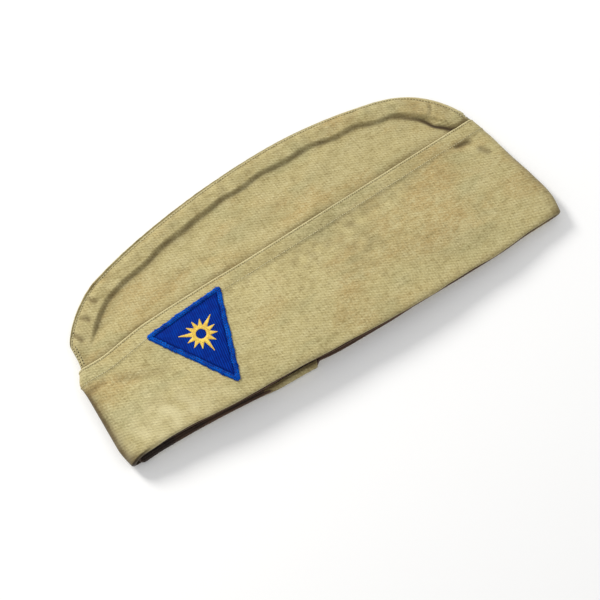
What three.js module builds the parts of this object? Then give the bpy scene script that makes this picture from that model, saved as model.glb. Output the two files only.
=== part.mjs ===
// Garrison cap of khaki cotton twill, folded flat and lying on its right side. Two side panels and a
// gusset folded between them make the crown. The curtain, in two halves, turns up round it from the
// mouth, a leather sweatband lines the mouth, and a three-cornered cloth badge is sewn to the left half.
// Millimetres. X runs from the front of the cap to its back, Y from the mouth to the rim, Z is up.
import * as THREE from 'three';

// Outline of the cap, seen flat
const capLength = 290; // mouth, from the front fold to the back fold
const crownHeight = 129.2; // mouth to the highest point of the rim
const curtainFrontHeight = 63.5;
const curtainBackHeight = 78.5;
const mouthSag = 4.5; // how far the mouth bows below a straight line

// Cloth, leather and the play between layers
const crownCloth = 1.0;
const curtainCloth = 1.0;
const hemCloth = 0.4; // what the curtain's hem adds to its cloth
const hemWidth = 8.5;
const gussetCloth = 0.8;
const leather = 1.0;
const layerGap = 0.3;

// How the folded cap stands up from the surface that it lies on
const endFold = 2.6; // half of the crown's thickness at its front and back folds
const rimFold = 3.0; // half of the crown's thickness at the rim
const floorGap = 0.4; // under the right panel, past the curtain
const mouthRise = 7.5; // what the mouth adds where it is fullest
const frontRoundMouth = 5; // width of the rounded front fold at the mouth
const frontRoundTop = 3.4; // and at the top of the curtain
const backRound = 3.2;
const foldRise = 18; // over this height the thickness changes from the end folds' to the rim's

// Rim
const rimRoll = 0.5;
const rimRollWidth = 1.6;
const crestHeight = 1.1;
const crestInset = 5.5; // rim to the crest that the seam allowances raise
const crestWidth = 4;
const creaseDepth = 1.5;
const creaseInset = 13; // rim to the crease where the gusset's fold ends
const creaseWidth = 3;
const creaseFade = 3; // over this height above the curtain the crest and the crease set in

// Gusset
const gussetDepth = 11;
const gussetEndDepth = 4.5;
const gussetSpread = 1.35; // mid-plane to a leg's outer face at the rim
const gussetBend = 1.05; // the same at the gusset's fold
const gussetEndInset = 8; // rim's end to the gusset's end, along the rim
const gussetTaper = 45;

// Sweatband
const sweatbandHeight = 30;
const sweatbandTip = 5; // end fold of the crown to the sweatband's own fold

// Badge
const badgeWidth = 53;
const badgeDrop = 55.8;
const badgeTurn = THREE.MathUtils.degToRad(8.6);
const badgeAlong = 65.2; // middle of its top side, from the front of the mouth
const badgeUp = 62;
const badgeCorner = 0.2; // radius of the border's inner edge at a corner
const badgeCloth = 0.9;
const borderWidth = 3.4;
const borderHeight = 1.7;
const emblemHeight = 0.7;
const emblemUp = 18.6; // emblem's centre below the badge's top side
const emblemRing = 5.4;
const emblemHole = 3.1;
const emblemRay = 9.4;
const emblemLongRay = 13.2; // the rays that point into the badge's corners
const emblemRays = 12;

// Rim from the front seam to the back seam, in shares of the cap's length and the crown's height
const rimLine = [
  { along: 0.004, up: 0.605 },
  { along: 0.0227, up: 0.668 },
  { along: 0.049, up: 0.732 },
  { along: 0.0934, up: 0.8045 },
  { along: 0.1518, up: 0.855 },
  { along: 0.251, up: 0.9125 },
  { along: 0.3607, up: 0.958 },
  { along: 0.48, up: 0.989 },
  { along: 0.59, up: 1 },
  { along: 0.68, up: 0.989 },
  { along: 0.769, up: 0.961 },
  { along: 0.849, up: 0.918 },
  { along: 0.897, up: 0.86 },
  { along: 0.932, up: 0.784 },
  { along: 0.958, up: 0.692 },
  { along: 0.966, up: 0.62 },
];
// Front and back folds of the curtain: how far they lie outside the ends of the mouth
const endLine = [
  { up: 0, front: 0.004, back: 0.0155 },
  { up: 0.1, front: 0.0125, back: 0.0226 },
  { up: 0.23, front: 0.0134, back: 0.0148 },
  { up: 0.37, front: 0.0144, back: 0.0014 },
  { up: 0.43, front: 0.0165, back: -0.0033 },
  { up: 0.485, front: 0.006, back: -0.0073 },
  { up: 0.55, front: 0.002, back: -0.0145 },
  { up: 0.62, front: 0.002, back: -0.0231 },
];
// Sag of the mouth's two edges, in shares of mouthSag. The right edge is let down to a step.
const mouthLine = [
  { along: 0, left: 0, right: 0 },
  { along: 0.15, left: 0, right: 0 },
  { along: 0.24, left: 0.22, right: 0.35 },
  { along: 0.325, left: 0.47, right: 0.9 },
  { along: 0.365, left: 0.58, right: 1.08 },
  { along: 0.407, left: 0.68, right: 1.04 },
  { along: 0.417, left: 0.7, right: 0.42 },
  { along: 0.48, left: 0.82, right: 0.55 },
  { along: 0.6, left: 1, right: 0.6 },
  { along: 0.72, left: 0.93, right: 0.52 },
  { along: 0.845, left: 0.75, right: 0.4 },
  { along: 0.92, left: 0.35, right: 0.12 },
  { along: 1, left: 0, right: 0 },
];
// Dents in the left side: centre, half length along the fold and depth in shares of the cap's length
const dents = [
  { along: 0.924, up: 0.506, long: 0.029, wide: 0.013, deep: 0.004, turn: -10 },
  { along: 0.705, up: 0.462, long: 0.15, wide: 0.011, deep: 0.0024, turn: 3 },
  { along: 0.9, up: 0.7, long: 0.045, wide: 0.009, deep: 0.0055, turn: -52 },
];
// Grid lines: distances from an end or from the rim, before the even ones start
const endSteps = [0, 0.5, 1.6, 3.4, 6.5, 11];
const rimSteps = [0, 0.5, 1.7, 3.6, 5.6, 8, 10.5, 12.8, 15, 18.5];
const evenColumn = 8.5;
const hiddenColumn = 11;
const rimShare = 0.75; // of the height above the curtain, the most that the rim's rows take up

const wrap = layerGap + curtainCloth + hemCloth; // the curtain's outer face above the crown's
const { clamp, lerp, smoothstep, degToRad } = THREE.MathUtils;

const khaki = new THREE.MeshStandardMaterial({ color: 0xbfb184, roughness: 0.95, metalness: 0 });
const khakiShade = new THREE.MeshStandardMaterial({ color: 0xb3a577, roughness: 0.95, metalness: 0 });
const brown = new THREE.MeshStandardMaterial({ color: 0x38251a, roughness: 0.7, metalness: 0 });
const blue = new THREE.MeshStandardMaterial({ color: 0x0b3a9c, roughness: 0.8, metalness: 0 });
const brightBlue = new THREE.MeshStandardMaterial({ color: 0x0d55bd, roughness: 0.7, metalness: 0 });
const yellow = new THREE.MeshStandardMaterial({ color: 0xf2cf57, roughness: 0.6, metalness: 0 });

// Value of one column of a table, on a smooth line through its rows that never overshoots them.
function tableAt(rows, key, column, at) {
  const last = rows.length - 2;
  const k = clamp(rows.findIndex((row) => row[key] > at) - 1, 0, at > rows[last][key] ? last : last + 1);
  const slope = (j) => (rows[j + 1][column] - rows[j][column]) / (rows[j + 1][key] - rows[j][key]);
  const tangent = (j) => {
    if (j === 0 || j > last) return slope(Math.min(j, last));
    const before = slope(j - 1);
    const after = slope(j);
    return before * after <= 0 ? 0 : (2 * before * after) / (before + after);
  };
  const i = Math.min(at >= rows[last][key] ? last : k, last);
  const span = rows[i + 1][key] - rows[i][key];
  const t = clamp((at - rows[i][key]) / span, 0, 1);
  const start = rows[i][column] + t * t * (3 - 2 * t) * (rows[i + 1][column] - rows[i][column]);
  return start + span * t * (1 - t) * ((1 - t) * tangent(i) - t * tangent(i + 1));
}

const curtainTop = (x) => lerp(curtainFrontHeight, curtainBackHeight, x / capLength);
const frontFold = (y) => -capLength * tableAt(endLine, 'up', 'front', y / crownHeight);
const backFold = (y) => capLength * (1 + tableAt(endLine, 'up', 'back', y / crownHeight));
const mouthEdge = (x, side) => -mouthSag * tableAt(mouthLine, 'along', side, x / capLength);

const rimCurve = new THREE.CatmullRomCurve3(
  rimLine.map((row) => new THREE.Vector3(row.along * capLength, row.up * crownHeight, 0)),
  false,
  'centripetal',
);
const rimEnd = rimCurve.getPoint(1).y;
const rimPoints = rimCurve.getSpacedPoints(150);
const foldPoints = (foldAt) =>
  Array.from({ length: 41 }, (_, k) => {
    const y = lerp(-mouthSag, rimEnd, k / 40);
    return new THREE.Vector3(foldAt(y), y, 0);
  });
const frontPoints = foldPoints((y) => frontFold(y) + wrap);
const backPoints = foldPoints((y) => backFold(y) - wrap);

// Shortest distance in plan from a place to a line of points.
function distanceTo(points, x, y) {
  let best = Infinity;
  for (let k = 1; k < points.length; k += 1) {
    const a = points[k - 1];
    const b = points[k];
    const run = new THREE.Vector2(b.x - a.x, b.y - a.y);
    const t = clamp(((x - a.x) * run.x + (y - a.y) * run.y) / run.lengthSq(), 0, 1);
    best = Math.min(best, Math.hypot(a.x + t * run.x - x, a.y + t * run.y - y));
  }
  return best;
}

// Rises from 0 to 1 over a quarter round.
const roundOver = (distance, radius) => Math.sqrt(1 - (1 - Math.min(distance / radius, 1)) ** 2);
const bump = (distance, width) => Math.exp(-((distance / width) ** 2));

function endRound(x, y) {
  const t = clamp(y / curtainFrontHeight, 0, 1);
  const front = roundOver(distanceTo(frontPoints, x, y), lerp(frontRoundMouth, frontRoundTop, t));
  return front * roundOver(distanceTo(backPoints, x, y), backRound);
}

const aboveCurtain = (x, y, over) => smoothstep(y - curtainTop(x), 0, over);
const midPlane = (x, y) => lerp(wrap + endFold, floorGap + rimFold, aboveCurtain(x, y, foldRise));

function dentDepth(x, y) {
  let depth = 0;
  for (const dent of dents) {
    const turn = degToRad(dent.turn);
    const dx = x - dent.along * capLength;
    const dy = y - dent.up * crownHeight;
    const lengthwise = (dx * Math.cos(turn) + dy * Math.sin(turn)) / (dent.long * capLength);
    const across = (dy * Math.cos(turn) - dx * Math.sin(turn)) / (dent.wide * capLength);
    depth += dent.deep * capLength * bump(lengthwise, 1) * bump(across, 1);
  }
  return depth;
}

// Height of the crown's outer face on the left side, the upper one as the cap lies.
function leftFace(x, y) {
  const along = clamp(x / capLength, 0, 1);
  const up = clamp(y / crownHeight / 0.85, 0, 1);
  const fullness = Math.sin(Math.PI * along ** 0.62) ** 0.7 * Math.cos((Math.PI / 2) * up) ** 2;
  const rim = distanceTo(rimPoints, x, y);
  const shown = aboveCurtain(x, y, creaseFade);
  const crest = shown * crestHeight * bump(rim - crestInset, crestWidth);
  const crease = shown * creaseDepth * bump(rim - creaseInset, creaseWidth);
  const roll = rimRoll * (1 - roundOver(rim, rimRollWidth));
  const half = lerp(endFold, rimFold, aboveCurtain(x, y, foldRise));
  const full = half + mouthRise * fullness + crest - crease - roll - dentDepth(x, y);
  return midPlane(x, y) + lerp(layerGap / 2, full, endRound(x, y));
}

// Height of the crown's outer face on the right side, the lower one.
function rightFace(x, y) {
  const bed = lerp(wrap, floorGap, smoothstep(y - curtainTop(x), 1.5, foldRise));
  const mid = midPlane(x, y) - layerGap / 2;
  return lerp(mid, bed, endRound(x, y));
}

// One side of the crown as a surface of two shares: u from front to back, v from mouth to rim.
function side(name, faceAt, outward) {
  const corner = {
    front: frontFold(0) + wrap,
    back: backFold(0) - wrap,
  };
  const mouth = (u) => {
    const x = lerp(corner.front, corner.back, u);
    return new THREE.Vector2(x, mouthEdge(x, name) + wrap);
  };
  const rim = (u) => rimCurve.getPointAt(clamp(u, 0, 1));
  const fold = (points, v) => {
    const y = lerp(wrap, rimEnd, v);
    const k = clamp(((y + mouthSag) / (rimEnd + mouthSag)) * 40, 0, 39.999);
    const low = points[Math.floor(k)];
    return new THREE.Vector2(lerp(low.x, points[Math.floor(k) + 1].x, k % 1), y);
  };
  const place = (u, v) => {
    const ends = [fold(frontPoints, v), fold(backPoints, v)];
    const low = mouth(u);
    const high = rim(u);
    const part = (axis) => {
      const corners = lerp(
        lerp(mouth(0)[axis], mouth(1)[axis], u),
        lerp(rim(0)[axis], rim(1)[axis], u),
        v,
      );
      return lerp(low[axis], high[axis], v) + lerp(ends[0][axis], ends[1][axis], u) - corners;
    };
    const x = part('x');
    const y = part('y');
    return new THREE.Vector3(x, y, faceAt(x, y));
  };
  const frame = (u, v) => {
    const step = 2e-4;
    const [u0, u1] = [Math.max(u - step, 0), Math.min(u + step, 1)];
    const [v0, v1] = [Math.max(v - step, 0), Math.min(v + step, 1)];
    const upward = place(u, v1).sub(place(u, v0)).normalize();
    const normal = place(u1, v).sub(place(u0, v)).cross(upward).normalize();
    return { normal: normal.multiplyScalar(outward), upward };
  };
  // Point off the surface by a distance outwards, and past its mouth edge by another. It keeps to its
  // own side of the mid-plane.
  const at = (u, v, out, past = 0) => {
    const { normal, upward } = frame(u, v);
    const p = place(u, v).addScaledVector(normal, out).addScaledVector(upward, -past);
    const limit = midPlane(p.x, p.y) + (outward * layerGap) / 2;
    return p.setZ(outward > 0 ? Math.max(p.z, limit) : Math.min(p.z, limit));
  };
  const columnLength = (u) => rim(u).y - mouth(u).y;
  const topOfCurtain = (u) => {
    let [low, high] = [0, 1];
    for (let k = 0; k < 30; k += 1) {
      const v = (low + high) / 2;
      const p = place(u, v);
      if (p.y < curtainTop(p.x)) low = v;
      else high = v;
    }
    return low;
  };
  return { at, columnLength, topOfCurtain };
}

// Closed solid between two faces laid out as [column][row].
function solidBetween(outer, inner) {
  const rows = outer[0].length;
  const columns = outer.length;
  const points = [...outer.flat(), ...inner.flat()];
  const index = [];
  const quad = (a, b, c, d) => index.push(a, b, c, a, c, d);
  const at = (i, j, face) => face * columns * rows + i * rows + j;
  for (let i = 0; i < columns - 1; i += 1) {
    for (let j = 0; j < rows - 1; j += 1) {
      quad(at(i, j, 0), at(i + 1, j, 0), at(i + 1, j + 1, 0), at(i, j + 1, 0));
      quad(at(i, j, 1), at(i, j + 1, 1), at(i + 1, j + 1, 1), at(i + 1, j, 1));
    }
    quad(at(i, 0, 0), at(i, 0, 1), at(i + 1, 0, 1), at(i + 1, 0, 0));
    quad(at(i, rows - 1, 0), at(i + 1, rows - 1, 0), at(i + 1, rows - 1, 1), at(i, rows - 1, 1));
  }
  const end = columns - 1;
  for (let j = 0; j < rows - 1; j += 1) {
    quad(at(0, j, 0), at(0, j + 1, 0), at(0, j + 1, 1), at(0, j, 1));
    quad(at(end, j, 0), at(end, j, 1), at(end, j + 1, 1), at(end, j + 1, 0));
  }
  return facingOut(points, index);
}

// Geometry from points and triangles, turned so that its faces point out.
function facingOut(points, index) {
  let volume = 0;
  for (let k = 0; k < index.length; k += 3) {
    const [a, b, c] = [points[index[k]], points[index[k + 1]], points[index[k + 2]]];
    volume += a.dot(b.clone().cross(c));
  }
  if (volume < 0) index.reverse();
  const geometry = new THREE.BufferGeometry().setFromPoints(points);
  geometry.setIndex(index);
  geometry.computeVertexNormals();
  return geometry;
}

function mesh(name, geometry, material) {
  const made = new THREE.Mesh(geometry, material);
  made.name = name;
  return made;
}

// Columns along the cap: close together at its two ends, and even between them.
function columnShares(spacing, extra = []) {
  const start = endSteps[endSteps.length - 1];
  const count = Math.round((capLength - 2 * start) / spacing);
  const even = Array.from({ length: count - 1 }, (_, k) => lerp(start, capLength - start, (k + 1) / count));
  const all = [...endSteps, ...even, ...endSteps.map((d) => capLength - d)];
  return [...all.map((x) => x / capLength), ...extra].sort((a, b) => a - b);
}

const evenShares = (count) => Array.from({ length: count }, (_, k) => k / (count - 1));

// Rows of a column under the curtain: its top, the end of its hem, then evenly down to the mouth.
function coveredRows(surface, u, plainRows) {
  const top = surface.topOfCurtain(u);
  const hemEnd = top - hemWidth / surface.columnLength(u);
  return [top, ...evenShares(plainRows).map((t) => lerp(hemEnd, 0, t))];
}

// Side panel of the crown: rows follow the rim, then run evenly down to the curtain and under it.
function crownPanel(surface, columns, steps, plainRows, coveredCount) {
  const faces = [0, -crownCloth].map((out) =>
    columns.map((u) => {
      const covered = coveredRows(surface, u, coveredCount);
      const length = surface.columnLength(u);
      const shrink = Math.min(1, (rimShare * (1 - covered[0]) * length) / steps[steps.length - 1]);
      const near = steps.map((d) => 1 - (d * shrink) / length);
      const last = near[near.length - 1];
      const plain = evenShares(plainRows + 2).slice(1, -1).map((t) => lerp(last, covered[0], t));
      return [...near, ...plain, ...covered].map((v) => surface.at(u, v, out));
    }),
  );
  return solidBetween(...faces);
}

// Half of the curtain: its hem, its plain cloth and the turn under the crown's edge at the mouth.
// The hem's second layer shows on the outside of the left half, and lies inside on the right half.
function curtainHalf(surface, columns, coveredCount, hemOutside) {
  const inner = (hem) => layerGap + (hem || hemOutside ? 0 : hemCloth);
  const outer = (hem) => wrap - (hem || !hemOutside ? 0 : hemCloth);
  const face = (outOf, lip) =>
    columns.map((u) => {
      const [top, hemEnd, ...plain] = coveredRows(surface, u, coveredCount);
      const step = hemCloth / surface.columnLength(u);
      const rows = [top, hemEnd].map((v) => surface.at(u, v, outOf(true)));
      rows.push(...[hemEnd - step, ...plain].map((v) => surface.at(u, v, outOf(false))));
      for (const turn of [30, 60, 90].map(degToRad)) {
        const reach = outOf(false);
        rows.push(surface.at(u, 0, reach * Math.cos(turn), reach * Math.sin(turn)));
      }
      rows.push(surface.at(u, 0, -lip, outOf(false)));
      return rows;
    });
  return solidBetween(face(outer, crownCloth), face(inner, crownCloth));
}

// Gusset: a strip folded to a V between the side panels, its two edges at the rim.
function gusset(stations) {
  const length = rimCurve.getLength();
  const ends = gussetEndInset / length;
  const face = (skin) =>
    evenShares(stations).map((share) => {
      const u = lerp(ends, 1 - ends, share);
      const p = rimCurve.getPointAt(u);
      const along = rimCurve.getTangentAt(u);
      const inward = new THREE.Vector3(along.y, -along.x, 0);
      const fromEnd = Math.min(u, 1 - u) * length - gussetEndInset;
      const depth = lerp(gussetEndDepth, gussetDepth, smoothstep(fromEnd, 0, gussetTaper));
      const bend = gussetBend - skin;
      const points = [[rimRoll, gussetSpread - skin]];
      points.push([depth * 0.5, lerp(gussetSpread, gussetBend, 0.5) - skin]);
      for (const turn of [90, 45, 0, -45, -90].map(degToRad)) {
        points.push([depth - gussetBend + bend * Math.cos(turn), bend * Math.sin(turn)]);
      }
      points.push([depth * 0.5, skin - lerp(gussetSpread, gussetBend, 0.5)]);
      points.push([rimRoll, skin - gussetSpread]);
      const mid = midPlane(p.x, p.y);
      return points.map(([inset, rise]) => p.clone().addScaledVector(inward, inset).setZ(mid + rise));
    });
  return solidBetween(face(0), face(gussetCloth));
}

// Half of the sweatband: a leather strip just inside one side of the mouth. Its two ends turn in to
// meet the other half's.
function sweatbandHalf(sign, stations, rows) {
  const under = crownCloth + layerGap;
  const tilt = (faceAt, x, y) => {
    const d = 0.5;
    const slopeX = (faceAt(x + d, y) - faceAt(x - d, y)) / (2 * d);
    const slopeY = (faceAt(x, y + d) - faceAt(x, y - d)) / (2 * d);
    return Math.hypot(1, slopeX, slopeY);
  };
  const face = (skin) => {
    const leg = (faceAt, inward, edge) => (x, up) => {
      const y = mouthEdge(x, edge) + up;
      const z = faceAt(x, y) + inward * (under + skin) * tilt(faceAt, x, y);
      return new THREE.Vector3(x, y, z);
    };
    const upper = leg(leftFace, -1, 'left');
    const lower = leg(rightFace, 1, 'right');
    const end = (up, foldAt, inward) => {
      const tip = foldAt(up) + inward * (wrap + sweatbandTip);
      const x = tip + inward * 2 * sweatbandTip;
      const radius = (upper(x, up).z - lower(x, up).z) / 2 + skin;
      return { x: tip + inward * radius, reach: -inward * (radius - skin) };
    };
    const ends = (up) => [end(up, frontFold, 1), end(up, backFold, -1)];
    const turn = (which) => (angle) => (up) => {
      const { x, reach } = ends(up)[which];
      const [a, b] = [upper(x, up), lower(x, up)];
      const rise = Math.max(((a.z - b.z) / 2) * Math.sin(angle), layerGap / 2);
      const y = lerp(a.y, b.y, (1 - sign * Math.sin(angle)) / 2);
      return new THREE.Vector3(x + reach * Math.cos(angle), y, (a.z + b.z) / 2 + sign * rise);
    };
    const straight = (share) => (up) => {
      const [front, back] = ends(up);
      return (sign > 0 ? upper : lower)(lerp(front.x, back.x, share), up);
    };
    const angles = [0, 30, 60].map(degToRad);
    const columns = [
      ...angles.map(turn(0)),
      ...evenShares(stations).map(straight),
      ...angles.reverse().map(turn(1)),
    ];
    return columns.map((pointAt) => evenShares(rows).map((t) => pointAt(t * sweatbandHeight)));
  };
  return solidBetween(face(0), face(leather));
}

// Place in plan of a point of the badge: across its top side, and down from it.
function badgePlace(across, down) {
  const p = new THREE.Vector2(across, -down).rotateAround(new THREE.Vector2(), badgeTurn);
  return p.add(new THREE.Vector2(badgeAlong, badgeUp));
}

// Height of the hem's face on the left half of the curtain, which the badge is sewn down to.
function badgeSeat(x, y) {
  return leftFace(x, y) + wrap + layerGap;
}

// Corners of the badge, moved in from its outline by a margin.
function badgeCorners(margin) {
  const half = Math.atan2(badgeWidth / 2, badgeDrop); // half the angle at the lower corner
  const side = (Math.PI / 2 - half) / 2; // half the angle at an upper corner
  const across = badgeWidth / 2 - margin / Math.tan(side);
  return [
    new THREE.Vector2(-across, margin),
    new THREE.Vector2(across, margin),
    new THREE.Vector2(0, badgeDrop - margin / Math.sin(half)),
  ];
}

// Rounded three-cornered line through places of the badge, as points and outward directions.
function badgeLine(margin, radius, perSide, perCorner) {
  const corners = badgeCorners(margin + radius);
  const line = [];
  corners.forEach((corner, k) => {
    const before = corners[(k + 2) % 3];
    const after = corners[(k + 1) % 3];
    const outward = (a, b) => new THREE.Vector2(b.y - a.y, a.x - b.x).normalize();
    const [first, last] = [outward(before, corner), outward(corner, after)];
    for (let j = 0; j <= perCorner; j += 1) {
      const angle = lerp(0, first.angleTo(last), j / perCorner);
      const out = first.clone().rotateAround(new THREE.Vector2(), angle);
      line.push({ at: corner.clone().addScaledVector(out, radius), out });
    }
    for (let j = 1; j < perSide; j += 1) {
      const at = corner.clone().lerp(after, j / perSide).addScaledVector(last, radius);
      line.push({ at, out: last });
    }
  });
  return line;
}

function badgeGround() {
  const rings = [0, 0.35, 0.7, 1];
  const middle = new THREE.Vector2(0, emblemUp);
  const face = (height) =>
    badgeLine(borderWidth + layerGap, badgeCorner, 6, 2).map(({ at }) =>
      rings.map((share) => {
        const p = at.clone().lerp(middle, share * 0.999);
        const place = badgePlace(p.x, p.y);
        return new THREE.Vector3(place.x, place.y, badgeSeat(place.x, place.y) + height);
      }),
    );
  return discSolid(face(badgeCloth), face(0));
}

// Closed solid between two faces of rings that shrink to their last row's middle.
function discSolid(top, bottom) {
  const columns = top.length;
  const rows = top[0].length - 1;
  const middle = (face) =>
    face.reduce((sum, column) => sum.add(column[rows]), new THREE.Vector3()).divideScalar(columns);
  const points = [
    ...top.flatMap((column) => column.slice(0, rows)),
    ...bottom.flatMap((column) => column.slice(0, rows)),
    middle(top),
    middle(bottom),
  ];
  const at = (i, j, face) => face * columns * rows + (i % columns) * rows + j;
  const centre = [2 * columns * rows, 2 * columns * rows + 1];
  const index = [];
  const quad = (a, b, c, d) => index.push(a, b, c, a, c, d);
  for (let i = 0; i < columns; i += 1) {
    quad(at(i, 0, 0), at(i, 0, 1), at(i + 1, 0, 1), at(i + 1, 0, 0));
    for (let j = 0; j < rows - 1; j += 1) {
      quad(at(i, j, 0), at(i + 1, j, 0), at(i + 1, j + 1, 0), at(i, j + 1, 0));
      quad(at(i, j, 1), at(i, j + 1, 1), at(i + 1, j + 1, 1), at(i + 1, j, 1));
    }
    index.push(at(i, rows - 1, 0), at(i + 1, rows - 1, 0), centre[0]);
    index.push(at(i + 1, rows - 1, 1), at(i, rows - 1, 1), centre[1]);
  }
  return facingOut(points, index);
}

// Overlocked border: an oval cord of thread laid round the badge's edge.
function badgeBorder() {
  const line = badgeLine(borderWidth / 2, badgeCorner + borderWidth / 2, 12, 5);
  const angles = [0, 30, 60, 90, 120, 150, 180].map(degToRad);
  const columns = line.map(({ at, out }) =>
    angles.map((angle) => {
      const p = at.clone().addScaledVector(out, (borderWidth / 2) * Math.cos(angle));
      const place = badgePlace(p.x, p.y);
      const height = borderHeight * Math.sin(angle);
      return new THREE.Vector3(place.x, place.y, badgeSeat(place.x, place.y) + height);
    }),
  );
  const rows = angles.length;
  const index = [];
  for (let i = 0; i < columns.length; i += 1) {
    const next = (i + 1) % columns.length;
    for (let j = 0; j < rows; j += 1) {
      const k = (j + 1) % rows;
      index.push(i * rows + j, next * rows + j, next * rows + k);
      index.push(i * rows + j, next * rows + k, i * rows + k);
    }
  }
  return facingOut(columns.flat(), index);
}

// Emblem: a plain ring with pointed rays, the longest ones into the badge's corners.
function badgeEmblem() {
  const outline = new THREE.Shape();
  for (let k = 0; k < emblemRays * 2; k += 1) {
    const angle = (k * Math.PI) / emblemRays - Math.PI / 2;
    const tip = k % (emblemRays * 2 / 3) === 0 ? emblemLongRay : emblemRay;
    const radius = k % 2 ? emblemRing : tip;
    const p = [radius * Math.cos(angle), radius * Math.sin(angle)];
    if (k) outline.lineTo(...p);
    else outline.moveTo(...p);
  }
  outline.closePath();
  outline.holes.push(new THREE.Path().absarc(0, 0, emblemHole, 0, 2 * Math.PI, true));
  const made = new THREE.ExtrudeGeometry(outline, {
    depth: emblemHeight,
    bevelEnabled: false,
    curveSegments: emblemRays,
  });
  const position = made.getAttribute('position');
  for (let k = 0; k < position.count; k += 1) {
    const place = badgePlace(position.getX(k), emblemUp - position.getY(k));
    const seat = badgeSeat(place.x, place.y) + badgeCloth + layerGap;
    position.setXYZ(k, place.x, place.y, seat + position.getZ(k));
  }
  return made;
}

const left = side('left', leftFace, 1);
const right = side('right', rightFace, -1);
const stepRows = mouthLine.filter((row) => row.along > 0.4 && row.along < 0.42).map((row) => row.along);
const leftColumns = columnShares(evenColumn);
const rightColumns = columnShares(hiddenColumn, stepRows);

const cap = new THREE.Group();
cap.add(
  mesh('crown_left', crownPanel(left, leftColumns, rimSteps, 3, 6), khaki),
  mesh('crown_right', crownPanel(right, rightColumns, [0, 6, 14], 2, 5), khaki),
  mesh('crown_gusset', gusset(34), khakiShade),
  mesh('curtain_left', curtainHalf(left, leftColumns, 6, true), khaki),
  mesh('curtain_right', curtainHalf(right, rightColumns, 5, false), khaki),
  mesh('sweatband_left', sweatbandHalf(1, 24, 3), brown),
  mesh('sweatband_right', sweatbandHalf(-1, 24, 3), brown),
  mesh('badge_cloth', badgeGround(), blue),
  mesh('badge_border', badgeBorder(), brightBlue),
  mesh('badge_emblem', badgeEmblem(), yellow),
);

// Origin: middle of the cap's length and height, on the surface that it lies on.
const box = new THREE.Box3().setFromObject(cap);
const centre = box.getCenter(new THREE.Vector3());
cap.position.set(-centre.x, -centre.y, -box.min.z);

export default cap;
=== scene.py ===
import math

import bpy
import numpy as np
from mathutils import Matrix, Vector


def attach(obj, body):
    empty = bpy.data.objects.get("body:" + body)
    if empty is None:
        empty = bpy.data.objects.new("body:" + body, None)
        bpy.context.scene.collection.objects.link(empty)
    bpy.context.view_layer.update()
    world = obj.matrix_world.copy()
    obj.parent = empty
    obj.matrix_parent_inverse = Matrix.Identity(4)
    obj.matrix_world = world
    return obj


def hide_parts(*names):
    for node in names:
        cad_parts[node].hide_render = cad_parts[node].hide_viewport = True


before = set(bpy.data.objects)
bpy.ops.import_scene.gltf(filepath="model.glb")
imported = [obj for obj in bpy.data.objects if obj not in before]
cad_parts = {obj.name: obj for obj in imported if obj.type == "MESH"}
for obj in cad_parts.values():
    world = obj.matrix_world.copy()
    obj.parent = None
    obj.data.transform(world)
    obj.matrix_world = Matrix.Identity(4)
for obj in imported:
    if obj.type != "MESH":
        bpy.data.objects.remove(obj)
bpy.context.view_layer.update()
print("frame loaded")

# The cap's own measures in millimetres: x from the front of the mouth to the back, y from the mouth to
# the rim, z up from the table. They repeat the solid model's.
capShape = {
    "length": 290.0,
    "height": 129.2,
    "curtainFront": 63.5,
    "curtainBack": 78.5,
    "mouthSag": 4.5,
    "gap": 0.3,
    "cloth": 1.0,
    "hem": 0.4,  # the hem is thicker than the plain cloth by this
    "frontRound": 5.0,  # radius of the rounded front fold, at the mouth
    "frontRoundAtTop": 3.4,  # and at the curtain's top
    "backRound": 3.2,
    "midPlane": (4.3, 3.4),  # height between the two sides: behind the curtain and in the bare crown
    "layers": (2.6, 3.0),  # from there to the upper face, flat
    "flatFrom": 18,  # the curtain's top edge up to where the bare crown lies flat
    "fullness": 7.5,
    "stripEdge": (10.7, 13.1),  # the rim's raised strip ends between these, from the rim
    "stripWaver": 0.8,
    "stripRise": 1.0,
    "stripStep": 1.1,
    "bed": 0.4,  # the lower panel above the table
    "origin": (145.694, 62.734, 0.0),
}
capLength = capShape["length"]
capHeight = capShape["height"]
layerGap = capShape["gap"]
clothThick = capShape["cloth"]
wrap = layerGap + clothThick + capShape["hem"]  # the curtain's outer face above the crown's
capOrigin = np.array(capShape["origin"])

# Rim of the crown: along, up
rimLine = [
    (0.004, 0.605), (0.0227, 0.668), (0.049, 0.732), (0.0934, 0.8045), (0.1518, 0.855), (0.251, 0.9125),
    (0.3607, 0.958), (0.48, 0.989), (0.59, 1.0), (0.68, 0.989), (0.769, 0.961), (0.849, 0.918),
    (0.897, 0.86), (0.932, 0.784), (0.958, 0.692), (0.966, 0.62),
]
# Front and back folds: up, front, back
endLine = [
    (0, 0.004, 0.0155), (0.1, 0.0125, 0.0226), (0.23, 0.0134, 0.0148), (0.37, 0.0144, 0.0014),
    (0.43, 0.0165, -0.0033), (0.485, 0.006, -0.0073), (0.55, 0.002, -0.0145), (0.62, 0.002, -0.0231),
]
# Sag of the mouth: along, left edge, right edge
mouthLine = [
    (0, 0, 0), (0.03, -0.4, -0.18), (0.07, -0.47, -0.3), (0.125, -0.33, -0.27), (0.18, -0.06, -0.15),
    (0.24, 0.2, 0.08), (0.29, 0.36, 0.3), (0.34, 0.34, 0.48), (0.375, 0.33, 0.6), (0.407, 0.46, 0.64),
    (0.417, 0.54, 0.2), (0.45, 0.76, 0.34), (0.48, 0.84, 0.4), (0.6, 1, 0.42), (0.72, 0.93, 0.42),
    (0.845, 0.75, 0.38), (0.92, 0.35, 0.12), (1, 0, 0),
]
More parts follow.
